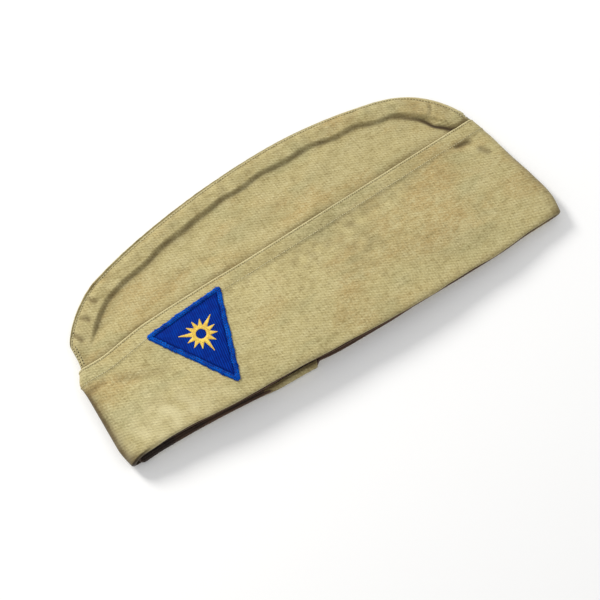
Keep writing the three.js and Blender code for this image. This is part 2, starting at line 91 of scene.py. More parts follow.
# Bow of the curtain's top edge: along, millimetres above the straight line
topLine = [
    (0, 0.5), (0.047, -0.4), (0.1, 1.2), (0.155, 2.8), (0.22, 3.0), (0.31, 2.9), (0.38, 2.3), (0.6, 2.1),
    (1, 1.9),
]
# Dents in the upper side: along, up, half length, half width, depth, turn in degrees
dents = [
    (0.924, 0.506, 0.029, 0.013, 0.004, -10),
    (0.705, 0.462, 0.15, 0.011, 0.0024, 3),
    (0.9, 0.7, 0.045, 0.009, 0.0055, -52),
]


def mix(a, b, t):
    return a + (b - a) * t


def smooth(value, low, high):
    t = np.clip((value - low) / (high - low), 0, 1)
    return t * t * (3 - 2 * t)


def bump(distance, width):
    return np.exp(-((distance / width) ** 2))


def roundOver(distance, radius):  # rises from 0 to 1 over a quarter round
    return np.sqrt(1 - (1 - np.clip(distance / radius, 0, 1)) ** 2)


def unit(vectors):
    return vectors / np.linalg.norm(vectors, axis=-1, keepdims=True)


def ripple(x, y, size, seed):  # gentle uneven waves of about that size, mostly from -1 to 1
    waves = 10
    dice = np.random.RandomState(seed)
    total = np.zeros_like(x)
    for _ in range(waves):
        turn, phase = dice.uniform(0, 2 * math.pi, 2)
        rate = 2 * math.pi / (size * dice.uniform(0.65, 1.6))
        total = total + np.sin(rate * (x * math.cos(turn) + y * math.sin(turn)) + phase)
    return total / math.sqrt(waves) * 0.8


def tableAt(rows, column, at):  # smooth line through a table's rows
    keys = np.array([row[0] for row in rows], float)
    values = np.array([row[column] for row in rows], float)
    slopes = np.diff(values) / np.diff(keys)
    tangents = np.zeros(len(keys))
    tangents[0], tangents[-1] = slopes[0], slopes[-1]
    for k in range(1, len(keys) - 1):
        a, b = slopes[k - 1], slopes[k]
        tangents[k] = 0 if a * b <= 0 else 2 * a * b / (a + b)
    k = np.clip(np.searchsorted(keys, at, side="right") - 1, 0, len(keys) - 2)
    span = keys[k + 1] - keys[k]
    t = np.clip((at - keys[k]) / span, 0, 1)
    start = values[k] + t * t * (3 - 2 * t) * (values[k + 1] - values[k])
    return start + span * t * (1 - t) * ((1 - t) * tangents[k] - t * tangents[k + 1])


def curtainTop(x):
    along = np.clip(x / capLength, 0, 1)
    return mix(capShape["curtainFront"], capShape["curtainBack"], x / capLength) + tableAt(topLine, 1, along)


def frontFold(y):
    return -capLength * tableAt(endLine, 1, y / capHeight)


def backFold(y):
    return capLength * (1 + tableAt(endLine, 2, y / capHeight))


def mouthEdge(x, column):
    return -capShape["mouthSag"] * tableAt(mouthLine, column, x / capLength)


def flowingLine(points, steps=60):  # centripetal line through points, as many small steps
    p = [2 * points[0] - points[1], *points, 2 * points[-1] - points[-2]]
    line = []
    for k in range(len(points) - 1):
        a, b, c, d = p[k : k + 4]
        t0, t1, t2 = (max(np.linalg.norm(q - r), 1e-6) ** 0.5 for q, r in ((b, a), (c, b), (d, c)))
        m1 = ((b - a) / t0 - (c - a) / (t0 + t1) + (c - b) / t1) * t1
        m2 = ((c - b) / t1 - (d - b) / (t1 + t2) + (d - c) / t2) * t1
        for t in np.linspace(0, 1, steps, endpoint=False):
            line.append(b + m1 * t + (-3 * b + 3 * c - 2 * m1 - m2) * t**2 + (2 * b - 2 * c + m1 + m2) * t**3)
    return np.array([*line, points[-1]])


def runOf(line):  # length along a line up to each of its points
    return np.concatenate([[0], np.cumsum(np.linalg.norm(np.diff(line, axis=0), axis=1))])


def runAcross(sheet):  # the same down each column of a sheet
    return np.cumsum(np.linalg.norm(np.diff(sheet, axis=1, prepend=sheet[:, :1]), axis=2), 1)


def alongLine(line, at):  # places on a line by length along it
    run = runOf(line)
    return np.stack([np.interp(at, run, line[:, k]) for k in range(line.shape[1])], axis=-1)


rimFine = flowingLine([np.array((a * capLength, u * capHeight)) for a, u in rimLine])
rimLength = runOf(rimFine)[-1]
rimEnd = rimFine[-1, 1]
foldHeights = np.linspace(-capShape["mouthSag"], rimEnd, 41)
frontPoints = np.stack([frontFold(foldHeights) + wrap, foldHeights], 1)
backPoints = np.stack([backFold(foldHeights) - wrap, foldHeights], 1)
# the panels' real edge, which the two folds pull out a little at its ends
rimEdge = rimFine.copy()
rimEdge[:, 0] += mix(
    frontPoints[-1, 0] - rimFine[0, 0], backPoints[-1, 0] - rimFine[-1, 0], runOf(rimFine) / rimLength
)
rimPoints = alongLine(rimEdge, np.linspace(0, runOf(rimEdge)[-1], 240))


def distanceTo(points, x, y):  # in plan, to a line of points
    best = np.full(np.shape(x), 1e9)
    for a, b in zip(points[:-1], points[1:]):
        run = b - a
        t = np.clip(((x - a[0]) * run[0] + (y - a[1]) * run[1]) / run.dot(run), 0, 1)
        best = np.minimum(best, (a[0] + t * run[0] - x) ** 2 + (a[1] + t * run[1] - y) ** 2)
    return np.sqrt(best)


def rimDistance(x, y):  # only above the curtain, where the rim's shape tells
    best = np.full(np.shape(x), 99.0)
    near = y > curtainTop(x) - 2
    best[near] = distanceTo(rimPoints, x[near], y[near])
    return best


def endRound(x, y):
    best = np.ones(np.shape(x))
    front, back = x < frontPoints[:, 0].max() + 6, x > backPoints[:, 0].min() - 4
    upFront = np.clip(y[front] / capShape["curtainFront"], 0, 1)
    radius = mix(capShape["frontRound"], capShape["frontRoundAtTop"], upFront)
    best[front] = roundOver(distanceTo(frontPoints, x[front], y[front]), radius)
    best[back] = roundOver(distanceTo(backPoints, x[back], y[back]), capShape["backRound"])
    return best


def aboveCurtain(x, y, over):
    return smooth(y - curtainTop(x), 0, over)


def pastFront(x, y, low):  # 0 at the crown's front end, where the raised strip stops
    return 1 - (1 - smooth(x, 40, 60)) * (1 - smooth(y, low, low + 11))


def midPlane(x, y):
    return mix(*capShape["midPlane"], aboveCurtain(x, y, capShape["flatFrom"]))


def leftFace(x, y):  # height of the crown's outer face on the upper side
    x, y = np.broadcast_arrays(np.asarray(x, float), np.asarray(y, float))
    along = np.clip(x / capLength, 0, 1)
    up = np.clip(y / capHeight / 0.85, 0, 1)
    fullness = np.sin(np.pi * along**0.62) ** 0.7 * np.cos(np.pi / 2 * up) ** 2
    rim = rimDistance(x, y)
    shown = aboveCurtain(x, y, 3)
    full = mix(*capShape["layers"], aboveCurtain(x, y, capShape["flatFrom"])) + capShape["fullness"] * fullness
    # the seam allowance makes a raised strip along the rim, with a step down to the single cloth
    step = smooth(rim - capShape["stripWaver"] * ripple(x, y, 26, 7), *capShape["stripEdge"])
    low = -capShape["stripStep"] * (1 - smooth(rim, 15, 32))
    full += shown * pastFront(x, y, 71) * mix(capShape["stripRise"] * smooth(rim, 0, 5), low, step)
    full -= 0.5 * (1 - roundOver(rim, 1.6))
    for at, high, long, wide, deep, turn in dents:
        c, s = math.cos(math.radians(turn)), math.sin(math.radians(turn))
        dx, dy = x - at * capLength, y - high * capHeight
        lengthwise = (dx * c + dy * s) / (long * capLength)
        full -= deep * capLength * bump(lengthwise, 1) * bump((dy * c - dx * s) / (wide * capLength), 1)
    return midPlane(x, y) + mix(0.15, full, endRound(x, y))


def rightFace(x, y):  # the same on the lower side
    x, y = np.broadcast_arrays(np.asarray(x, float), np.asarray(y, float))
    bed = mix(wrap, capShape["bed"], smooth(y - curtainTop(x), 1.5, capShape["flatFrom"]))
    return mix(midPlane(x, y) - 0.15, bed, endRound(x, y))


sides = {
    "left": {"mouth": 1, "face": leftFace, "outward": 1},
    "right": {"mouth": 2, "face": rightFace, "outward": -1},
}


def rimAt(u):
    return alongLine(rimFine, np.clip(u, 0, 1) * rimLength)


def mouthAt(u, side):
    x = mix(frontFold(0.0) + wrap, backFold(0.0) - wrap, u)
    return np.stack([x, mouthEdge(x, sides[side]["mouth"]) + wrap], -1)


def columnLength(u, side):
    return rimAt(u)[..., 1] - mouthAt(u, side)[..., 1]


def planAt(u, v, side):  # place in plan of two shares: u from front to back, v from mouth to rim
    u, v = np.broadcast_arrays(u, v)
    y = mix(wrap, rimEnd, v)
    folds = [np.stack([np.interp(y, foldHeights, line[:, 0]), y], -1) for line in (frontPoints, backPoints)]
    a, b = u[..., None], v[..., None]
    corners = [mouthAt(np.float64(k), side) for k in (0, 1)] + [rimAt(np.float64(k)) for k in (0, 1)]
    flat = mix(mix(corners[0], corners[1], a), mix(corners[2], corners[3], a), b)
    return mix(mouthAt(u, side), rimAt(u), b) + mix(folds[0], folds[1], a) - flat


def surfaceAt(u, v, side):
    plan = planAt(u, v, side)
    z = sides[side]["face"](plan[..., 0], plan[..., 1])
    return np.concatenate([plan, z[..., None]], -1)


def curtainShare(u, side):  # share of each column at which the curtain ends
    low, high = np.zeros_like(u), np.ones_like(u)
    for _ in range(26):
        v = (low + high) / 2
        plan = planAt(u, v, side)
        under = plan[..., 1] < curtainTop(plan[..., 0])
        low, high = np.where(under, v, low), np.where(under, high, v)
    return low


def columnsOf(spacing):  # shares along the cap, close together at its two rounded ends
    turns = np.radians([0, 8, 18, 28, 38, 48, 58, 68, 80])
    first = np.concatenate([capShape["frontRound"] * (1 - np.cos(turns)), [5.2, 6.1, 7.0]])
    last = np.concatenate([capShape["backRound"] * (1 - np.cos(turns)), [3.6, 4.5, 5.4]])
    count = round((capLength - first[-1] - last[-1]) / spacing)
    even = np.linspace(first[-1], capLength - last[-1], count + 1)[1:-1]
    return np.concatenate([first, even, capLength - last[::-1]]) / capLength


def normalsOf(points, closed=False):
    if closed:
        along = np.roll(points, -1, 0) - np.roll(points, 1, 0)
    else:
        along = np.gradient(points, axis=0)
    return unit(np.cross(along, np.gradient(points, axis=1)))


def facesAbout(middle, normal, half):  # the two faces of a sheet, from its middle and half its thickness
    return middle + normal * half[..., None], middle - normal * half[..., None]


def inEditMode(*steps):  # on all of the active piece
    bpy.ops.object.mode_set(mode="EDIT")
    bpy.ops.mesh.select_all(action="SELECT")
    for step in steps:
        step()
    bpy.ops.object.mode_set(mode="OBJECT")


def mendNormals():
    bpy.ops.mesh.normals_make_consistent(inside=False)


def nothingSelected():
    if bpy.context.object and bpy.context.object.mode != "OBJECT":
        bpy.ops.object.mode_set(mode="OBJECT")
    bpy.ops.object.select_all(action="DESELECT")


def finishPiece(piece, name, nodes, finish):
    piece.name = name
    piece.data.name = name
    piece.data.materials.clear()
    piece.data.materials.append(finish)
    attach(piece, "root")
    if nodes:
        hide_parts(*nodes)


def clothSheet(outer, inner, uv, masks=None, closed=False):
    # two faces laid out as columns and rows, which meet where they coincide
    if closed:
        outer, inner = (np.concatenate([face, face[:1]]) for face in (outer, inner))
    columns, rows = outer.shape[:2]
    nothingSelected()
    bpy.ops.mesh.primitive_grid_add(x_subdivisions=columns - 1, y_subdivisions=rows - 1, size=2)
    piece = bpy.context.object
    inEditMode(bpy.ops.mesh.duplicate, bpy.ops.mesh.flip_normals)
    mesh = piece.data
    count = columns * rows
    flat = np.zeros(len(mesh.vertices) * 3)
    mesh.vertices.foreach_get("co", flat)
    flat = flat.reshape(-1, 3)
    i = np.rint((flat[:, 0] + 1) / 2 * (columns - 1)).astype(int)
    j = np.rint((flat[:, 1] + 1) / 2 * (rows - 1)).astype(int)
    isInner = (np.arange(len(flat)) >= count)[:, None]
    places = (np.where(isInner, inner[i, j], outer[i, j]) - capOrigin) / 1000
    mesh.vertices.foreach_set("co", places.ravel())
    corners = np.zeros(len(mesh.loops), int)
    mesh.loops.foreach_get("vertex_index", corners)
    mesh.uv_layers[0].data.foreach_set("uv", (uv[i, j] / 1000)[corners].ravel())
    for maskName, mask in (masks or {}).items():
        if closed:
            mask = np.concatenate([mask, mask[:1]])
        made = mesh.attributes.new(maskName, "FLOAT", "POINT")
        made.data.foreach_set("value", mask[i, j].astype(np.float32))
    inEditMode(lambda: bpy.ops.mesh.remove_doubles(threshold=2e-6), mendNormals)
    bpy.ops.object.shade_smooth()
    return piece


def paint(red, green, blue):  # a screen colour as the shader wants it
    return tuple(
        ((c / 255 + 0.055) / 1.055) ** 2.4 if c > 10 else c / 255 / 12.92 for c in (red, green, blue)
    ) + (1,)


def startGroup(name, **inputs):  # inputs are numbers, or None for a vector, and _ stands for a space
    group = bpy.data.node_groups.new(name, "ShaderNodeTree")
    for label, value in inputs.items():
        kind = "NodeSocketVector" if value is None else "NodeSocketFloat"
        socket = group.interface.new_socket(name=label.replace("_", " "), in_out="INPUT", socket_type=kind)
        if value is not None:
            socket.default_value = value
    return group, group.nodes.new("NodeGroupInput").outputs


def finishGroup(group, **results):
    for label in results:
        label = label.replace("_", " ")
        group.interface.new_socket(name=label, in_out="OUTPUT", socket_type="NodeSocketFloat")
    out = group.nodes.new("NodeGroupOutput")
    for label, value in results.items():
        group.links.new(value, out.inputs[label.replace("_", " ")])
    return group


def feed(tree, socket, value):  # a number, a colour or another node's output
    if isinstance(value, (int, float, tuple)):
        socket.default_value = value
    elif value is not None:
        tree.links.new(value, socket)


def mathNode(tree, operation, a, b=None, clampIt=False):
    node = tree.nodes.new("ShaderNodeMath")
    node.operation = operation
    node.use_clamp = clampIt
    feed(tree, node.inputs[0], a)
    feed(tree, node.inputs[1], b)
    return node.outputs[0]


def plus(tree, a, b, clampIt=False):
    return mathNode(tree, "ADD", a, b, clampIt)


def minus(tree, a, b):
    return mathNode(tree, "SUBTRACT", a, b)


def times(tree, a, b, clampIt=False):
    return mathNode(tree, "MULTIPLY", a, b, clampIt)


def vectorNode(tree, operation, a, b=None, scale=None):
    node = tree.nodes.new("ShaderNodeVectorMath")
    node.operation = operation
    feed(tree, node.inputs[0], a)
    feed(tree, node.inputs[1], b)
    if scale is not None:
        feed(tree, node.inputs["Scale"], scale)
    return node.outputs["Value" if operation == "DOT_PRODUCT" else 0]


def noiseNode(tree, vector, scale, detail=3.0, rough=0.55, distortion=0.0):
    node = tree.nodes.new("ShaderNodeTexNoise")
    given = {"Vector": vector, "Scale": scale, "Detail": detail, "Roughness": rough, "Distortion": distortion}
    for label, value in given.items():
        feed(tree, node.inputs[label], value)
    return node.outputs[0]


def rangeNode(tree, value, fromLow, fromHigh, toLow=0.0, toHigh=1.0):
    node = tree.nodes.new("ShaderNodeMapRange")
    node.interpolation_type = "SMOOTHSTEP"
    tree.links.new(value, node.inputs[0])
    for k, number in enumerate((fromLow, fromHigh, toLow, toHigh)):
        node.inputs[k + 1].default_value = number
    return node.outputs[0]


def blendNode(tree, share, a, b):
    node = tree.nodes.new("ShaderNodeMix")
    node.data_type = "RGBA"
    for k, value in ((0, share), (6, a), (7, b)):
        feed(tree, node.inputs[k], value)
    return node.outputs[2]


def twillGroup():
    # Twill: slanting ribs of short floats, with uneven yarns both ways. The vector is in metres.
    group, given = startGroup("twillWeave", Vector=None, Rib_Pitch=0.0013, Rib_Angle=0.4, Unevenness=0.3)
    vector = given["Vector"]
    wander = noiseNode(group, vector, 500, 2.0)
    shift = times(group, minus(group, wander, 0.5), given["Unevenness"])
    broken = noiseNode(group, vector, 330, 2.0)
    strength = rangeNode(group, broken, 0.3, 0.7, 0.15, 1.0)
    split = group.nodes.new("ShaderNodeSeparateXYZ")
    group.links.new(vector, split.inputs[0])
    x, y = (mathNode(group, "DIVIDE", split.outputs[k], given["Rib Pitch"]) for k in (0, 1))
    sine, cosine = (mathNode(group, kind, given["Rib Angle"]) for kind in ("SINE", "COSINE"))
    across = plus(group, times(group, x, sine), times(group, y, cosine))
    along = minus(group, times(group, x, cosine), times(group, y, sine))
    ribWave = mathNode(group, "SINE", times(group, plus(group, across, shift), 2 * math.pi))
    floatAt = plus(group, times(group, along, 0.8), plus(group, times(group, across, 0.5), shift))
    floatWave = mathNode(group, "SINE", times(group, floatAt, 2 * math.pi))
    both = plus(group, times(group, ribWave, 0.36), times(group, floatWave, 0.22))
    height = plus(group, times(group, both, strength), 0.5, True)
    weft, warp = (
        noiseNode(group, vectorNode(group, "MULTIPLY", vector, rates), 1.0, 2.0)
        for rates in ((110.0, 620.0, 300.0), (620.0, 110.0, 300.0))
    )
    yarn = times(group, plus(group, weft, warp), 0.5)
    return finishGroup(group, Height=height, Furrow=minus(group, 1.0, height), Yarn=yarn)


def stainGroup():
    # Old washed cloth: wide tan and grey-green patches, small ones, and a few dark specks
    group, given = startGroup("oldStains", Vector=None, Patch_Size=0.035)
    drawn = vectorNode(group, "MULTIPLY", given["Vector"], (0.62, 1.25, 1.0))
    scaled = vectorNode(group, "DIVIDE", drawn, given["Patch Size"])
    wide = noiseNode(group, scaled, 1.0, 3.5, 0.55, 0.3)
    moved = vectorNode(group, "ADD", scaled, (7.3, 2.1, 4.4))
    other = noiseNode(group, moved, 1.5, 3.0, 0.5, 0.4)
    cells = group.nodes.new("ShaderNodeTexVoronoi")
    cells.inputs["Scale"].default_value = 2.2
    group.links.new(scaled, cells.inputs["Vector"])
    return finishGroup(
        group,
        Tan=rangeNode(group, wide, 0.48, 0.68),
        Grey_Green=rangeNode(group, other, 0.5, 0.68),
        Mottle=noiseNode(group, vectorNode(group, "SCALE", scaled, scale=14.0), 1.0, 4.0, 0.6),
        Cloud=noiseNode(group, vectorNode(group, "SCALE", scaled, scale=3.2), 1.0, 3.0, 0.55, 0.5),
        Speck=rangeNode(group, cells.outputs["Distance"], 0.012, 0.022, 1.0, 0.0),
    )


def raggedMaskGroup():
    # Breaks a painted mask up, so that wear, grime, painted shade and painted highlight have ragged borders
    group, given = startGroup("raggedMask", Mask=0.0, Vector=None, Grain=900.0)
    grain = noiseNode(group, given["Vector"], given["Grain"], 4.0, 0.5)
    pushed = plus(group, given["Mask"], times(group, minus(group, grain, 0.5), 0.35))
    amount = times(group, rangeNode(group, pushed, -0.05, 1.0), rangeNode(group, given["Mask"], 0.0, 0.2), True)
    return finishGroup(group, Amount=amount)


def threadGroup():
    # Twisted thread: fine slanting plies and a soft change of shade
    group, given = startGroup("twistedThread", Vector=None, Ply_Pitch=0.0004)
    scaled = vectorNode(group, "DIVIDE", given["Vector"], given["Ply Pitch"])
    along = vectorNode(group, "DOT_PRODUCT", scaled, (0.8, 0.5, 0.33))
    wave = mathNode(group, "SINE", times(group, along, 2 * math.pi))
    soft = noiseNode(group, vectorNode(group, "SCALE", scaled, scale=0.22), 1.0, 3.0)
    return finishGroup(group, Height=plus(group, times(group, wave, 0.5), 0.5), Shade=soft)


twillWeave, oldStains, raggedMask, twistedThread = twillGroup(), stainGroup(), raggedMaskGroup(), threadGroup()


def placeGroup(tree, group, **inputs):
    node = tree.nodes.new("ShaderNodeGroup")
    node.node_tree = group
    for label, value in inputs.items():
        feed(tree, node.inputs[label.replace("_", " ")], value)
    return node.outputs


def startMaterial(name, rough, sheen=0.0, specular=0.3):
    material = bpy.data.materials.new(name)
    material.use_nodes = True
    tree = material.node_tree
    shader = tree.nodes["Principled BSDF"]
    shader.inputs["Roughness"].default_value = rough
    shader.inputs["Sheen Weight"].default_value = sheen
    shader.inputs["Sheen Roughness"].default_value = 0.5
    shader.inputs["Specular IOR Level"].default_value = specular
    coords = tree.nodes.new("ShaderNodeTexCoord")
    return material, tree, shader, coords


def bumpInto(tree, shader, heights):  # heights: (socket, metres)
    normal = None
    for height, depth in heights:
        node = tree.nodes.new("ShaderNodeBump")
        node.inputs["Distance"].default_value = depth
        node.inputs["Strength"].default_value = 1.0
        tree.links.new(height, node.inputs["Height"])
        if normal is not None:
            tree.links.new(normal, node.inputs["Normal"])
        normal = node.outputs[0]
    tree.links.new(normal, shader.inputs["Normal"])


def maskNode(tree, name):
    node = tree.nodes.new("ShaderNodeAttribute")
    node.attribute_name = name
    return node.outputs["Fac"]


def khakiCloth(name, look):
    material, tree, shader, coords = startMaterial(name, look["roughness"], 0.15, 0.2)
    uv = coords.outputs["UV"]
    weave = placeGroup(
        tree, twillWeave, Vector=uv, Rib_Pitch=look["ribPitch"], Rib_Angle=look["ribAngle"], Unevenness=0.6
    )
    place = coords.outputs["Object"]
    stains = placeGroup(tree, oldStains, Vector=place, Patch_Size=look["patchSize"])
    fine = noiseNode(tree, place, 900, 3.0, 0.65)

    def grainSum(rows):
        total = 0.0
        for name, low, high, amount in rows:
            grain = fine if name == "Fine" else stains[name]
            total = plus(tree, rangeNode(tree, grain, low, high, 0.0, amount), total)
        return total

    def share(part, amount):
        return times(tree, part, look[amount])

    yarn = share(rangeNode(tree, weave["Yarn"], 0.48, 0.66), "yarnShare")
    # darker towards the dark brown: old grime, and painted shade in creases, in folds and along edges
    grimeAndShade = placeGroup(tree, raggedMask, Mask=maskNode(tree, "soiledAndShaded"), Vector=place, Grain=700.0)
    # lighter towards the pale colour: wear, and painted highlight along folded edges
    wearHighlightAndShade = placeGroup(tree, raggedMask, Mask=maskNode(tree, "wearHighlightAndShade"), Vector=place, Grain=1500.0)
    colour = look["base"]
    for amount, over in (
        (share(stains["Tan"], "tanShare"), "tan"),
        (share(stains["Grey Green"], "greyShare"), "greyGreen"),
        (grainSum(look["dust"]), "dusty"),
        (grainSum(look["depth"]), "deep"),
        # painted shade in the weave's furrows, with uneven yarn tone
        (plus(tree, share(weave["Furrow"], "furrowShadeShare"), yarn, True), "deep"),
        (share(grimeAndShade["Amount"], "grimeAndShadeShare"), "grimeAndShade"),
        (share(wearHighlightAndShade["Amount"], "wearAndHighlightShare"), "wearHighlightAndShade"),
        (share(maskNode(tree, "seam"), "seamShare"), "seam"),
        # painted shadow: near black in the deepest tucks and folds
        (share(maskNode(tree, "tuckShadow"), "tuckShadowShare"), "tuckShadow"),
        (share(stains["Speck"], "speckShare"), "speck"),
    ):
        colour = blendNode(tree, amount, colour, look[over])
    tree.links.new(colour, shader.inputs["Base Color"])
    rough = plus(tree, times(tree, stains["Mottle"], 0.12), look["roughness"] - 0.06)
    tree.links.new(rough, shader.inputs["Roughness"])
    fuzz = noiseNode(tree, place, 2600, 3.0)
    bumpInto(tree, shader, [(stains["Mottle"], 0.0001), (weave["Height"], look["relief"]), (fuzz, 0.00006)])
    return material


# Of these colours the dark brown paints grime and painted shade, the pale one wear and painted highlight, the
# near black one painted shadow in tucks, and the deep one random tone and painted shade in the weave's furrows
crownLook = {
    "base": paint(192, 179, 127), "tan": paint(192, 164, 108), "greyGreen": paint(176, 172, 126),
    "dusty": paint(204, 193, 146), "deep": paint(128, 112, 68), "grimeAndShade": paint(82, 62, 34),
    "wearHighlightAndShade": paint(222, 212, 168), "speck": paint(104, 66, 34), "seam": paint(98, 84, 46),
    "tuckShadow": paint(44, 30, 16), "roughness": 0.93, "ribPitch": 0.0016, "ribAngle": 0.42, "relief": 0.00016,
    "patchSize": 0.032, "tanShare": 0.92, "greyShare": 0.8, "furrowShadeShare": 0.58, "yarnShare": 0.3,
    "grimeAndShadeShare": 0.8, "wearAndHighlightShare": 0.6, "seamShare": 0.6, "tuckShadowShare": 0.9, "speckShare": 0.35,
    # which grain, from where to where in it, and how much of the colour
    "dust": [("Mottle", 0.35, 0.7, 0.4), ("Fine", 0.4, 0.7, 0.55), ("Cloud", 0.48, 0.68, 0.32)],
    "depth": [("Mottle", 0.5, 0.25, 0.15), ("Fine", 0.52, 0.28, 0.34), ("Cloud", 0.5, 0.3, 0.19)],
}
curtainLook = {
    **crownLook, "base": paint(199, 186, 132), "dusty": paint(210, 199, 150), "patchSize": 0.038,
    "furrowShadeShare": 0.52,
}
gussetLook = {**crownLook, "base": paint(168, 154, 108), "patchSize": 0.02}
crownCloth = khakiCloth("crownTwill", crownLook)
curtainCloth = khakiCloth("curtainTwill", curtainLook)
gussetCloth = khakiCloth("gussetTwill", gussetLook)

sweatbandLook = {
    "base": paint(62, 42, 28), "dark": paint(34, 22, 15), "lighterLeather": paint(104, 74, 50), "roughness": 0.72,
    "poreScale": 1300, "poreDepth": 0.00006,
}


def sweatbandLeather(look):
    material, tree, shader, coords = startMaterial("ribbedLeather", look["roughness"], 0.0, 0.4)
    place = coords.outputs["Object"]
    tone = noiseNode(tree, place, 90, 4.0)
    colour = blendNode(tree, rangeNode(tree, tone, 0.35, 0.7), look["dark"], look["base"])
    # lighter on the ribs and along the band's lower edge
    lighterLeather = placeGroup(tree, raggedMask, Mask=maskNode(tree, "wearHighlightAndShade"), Vector=place, Grain=1200.0)
    colour = blendNode(tree, lighterLeather["Amount"], colour, look["lighterLeather"])
    tree.links.new(colour, shader.inputs["Base Color"])
    pores = tree.nodes.new("ShaderNodeTexVoronoi")
    pores.feature = "DISTANCE_TO_EDGE"
    pores.inputs["Scale"].default_value = look["poreScale"]
    tree.links.new(place, pores.inputs["Vector"])
    creases = rangeNode(tree, pores.outputs["Distance"], 0.0, 0.18)
    tree.links.new(minus(tree, look["roughness"], times(tree, creases, 0.18)), shader.inputs["Roughness"])
    bumpInto(tree, shader, [(tone, 0.0002), (creases, look["poreDepth"])])
    return material


leatherFinish = sweatbandLeather(sweatbandLook)


def embroideryThread(name, light, dark, pitch, rough, sheen, specular=0.25):
    material, tree, shader, coords = startMaterial(name, rough, sheen, specular)
    twist = placeGroup(tree, twistedThread, Vector=coords.outputs["Object"], Ply_Pitch=pitch)
    # random tone, with painted shade between the plies
    shade = plus(
        tree, times(tree, rangeNode(tree, twist["Shade"], 0.3, 0.7), 0.8), times(tree, twist["Height"], 0.2)
    )
    tree.links.new(blendNode(tree, shade, dark, light), shader.inputs["Base Color"])
    tree.links.new(plus(tree, times(tree, twist["Shade"], 0.25), rough - 0.12), shader.inputs["Roughness"])
    bumpInto(tree, shader, [(twist["Height"], pitch * 0.22)])
    return material


def badgeTwill(look):
    material, tree, shader, coords = startMaterial("badgeTwill", 0.85, 0.0, 0.06)
    weave = placeGroup(
        tree, twillWeave, Vector=coords.outputs["UV"], Rib_Pitch=look["threadPitch"], Rib_Angle=1.2,
        Unevenness=0.3,
    )
    tone = noiseNode(tree, coords.outputs["Object"], 260, 4.0)
    colour = blendNode(tree, rangeNode(tree, tone, 0.3, 0.7), look["dark"], look["base"])
    # painted shade in the weave's furrows, in the ribs' valleys and in the sewn furrow
    colour = blendNode(tree, times(tree, weave["Furrow"], 0.5), colour, look["furrowShade"])
    valleyShade = maskNode(tree, "wearHighlightAndShade")
    colour = blendNode(tree, times(tree, valleyShade, 0.85), colour, look["furrowShade"])
    tree.links.new(colour, shader.inputs["Base Color"])
    tree.links.new(rangeNode(tree, tone, 0.2, 0.8, 0.65, 0.85), shader.inputs["Roughness"])
    bumpInto(tree, shader, [(weave["Height"], 0.00008)])
    return material


# the furrow colour is painted shade in the badge's recesses
groundFinish = badgeTwill(
    {"base": paint(2, 64, 176), "dark": paint(1, 46, 148), "furrowShade": paint(1, 18, 84), "threadPitch": 0.0005}
)
borderFinish = embroideryThread("borderThread", paint(1, 94, 200), paint(0, 42, 140), 0.0012, 0.75, 0.0, 0.08)
emblemFinish = embroideryThread("emblemThread", paint(255, 228, 108), paint(238, 194, 76), 0.0005, 0.5, 0.1)
sewingFinish = embroideryThread("sewingThread", paint(214, 206, 166), paint(176, 164, 120), 0.0004, 0.8, 0.05)
# dark discs: painted shade in the needle holes
holeShadeFinish = embroideryThread("needleHoleShade", paint(84, 70, 38), paint(54, 44, 24), 0.0004, 0.95, 0.0)
badgeSewing = embroideryThread("badgeSewing", paint(10, 34, 110), paint(5, 16, 66), 0.0003, 0.7, 0.1)
print("materials made")


def lineThrough(points, steps):
    return flowingLine([np.array(p, float) for p in points], steps)


def nearestOn(line, x, y):  # distance to a line in plan, share of its length there and how far to its left
    best, share, left = np.full(x.shape, 1e9), np.zeros(x.shape), np.zeros(x.shape)
    for k, (p, way) in enumerate(zip(line, unit(np.gradient(line, axis=0)))):
        dx, dy = x - p[0], y - p[1]
        near = np.hypot(dx, dy)
        closer = near < best
        share = np.where(closer, k / (len(line) - 1), share)
        left = np.where(closer, way[0] * dy - way[1] * dx, left)
        best = np.minimum(best, near)
    return best, share, left


def groove(x, y, points, width, lip=0.0, blunt=0.25):
    # A crease along a line of points in plan: 1 at its bottom, fading at both ends, with a raised lip
    line = lineThrough(points, 12)
    reach = 6 * width
    low, high = line.min(0) - reach, line.max(0) + reach
    close = (x > low[0]) & (x < high[0]) & (y > low[1]) & (y < high[1])
    best, share, _ = nearestOn(line, x[close], y[close])
    ends = smooth(share, 0, blunt) * smooth(1 - share, 0, blunt)
    result = np.zeros(x.shape)
    result[close] = ends * (bump(best, width) - lip * bump(best - 2.2 * width, width))
    return result


def tuck(x, y, points, steep, gentle, puff):
    # A fold tucked under: 1 at its bottom, steep on the side to the left of the line, and puffed there
    best, share, left = nearestOn(lineThrough(points, 14), x, y)
    ends = smooth(share, 0, 0.45) * smooth(1 - share, 0, 0.1)
    profile = np.where(left > 0, bump(best, steep) - puff * bump(best - 3.0, 2.2), bump(best, gentle))
    return ends * profile


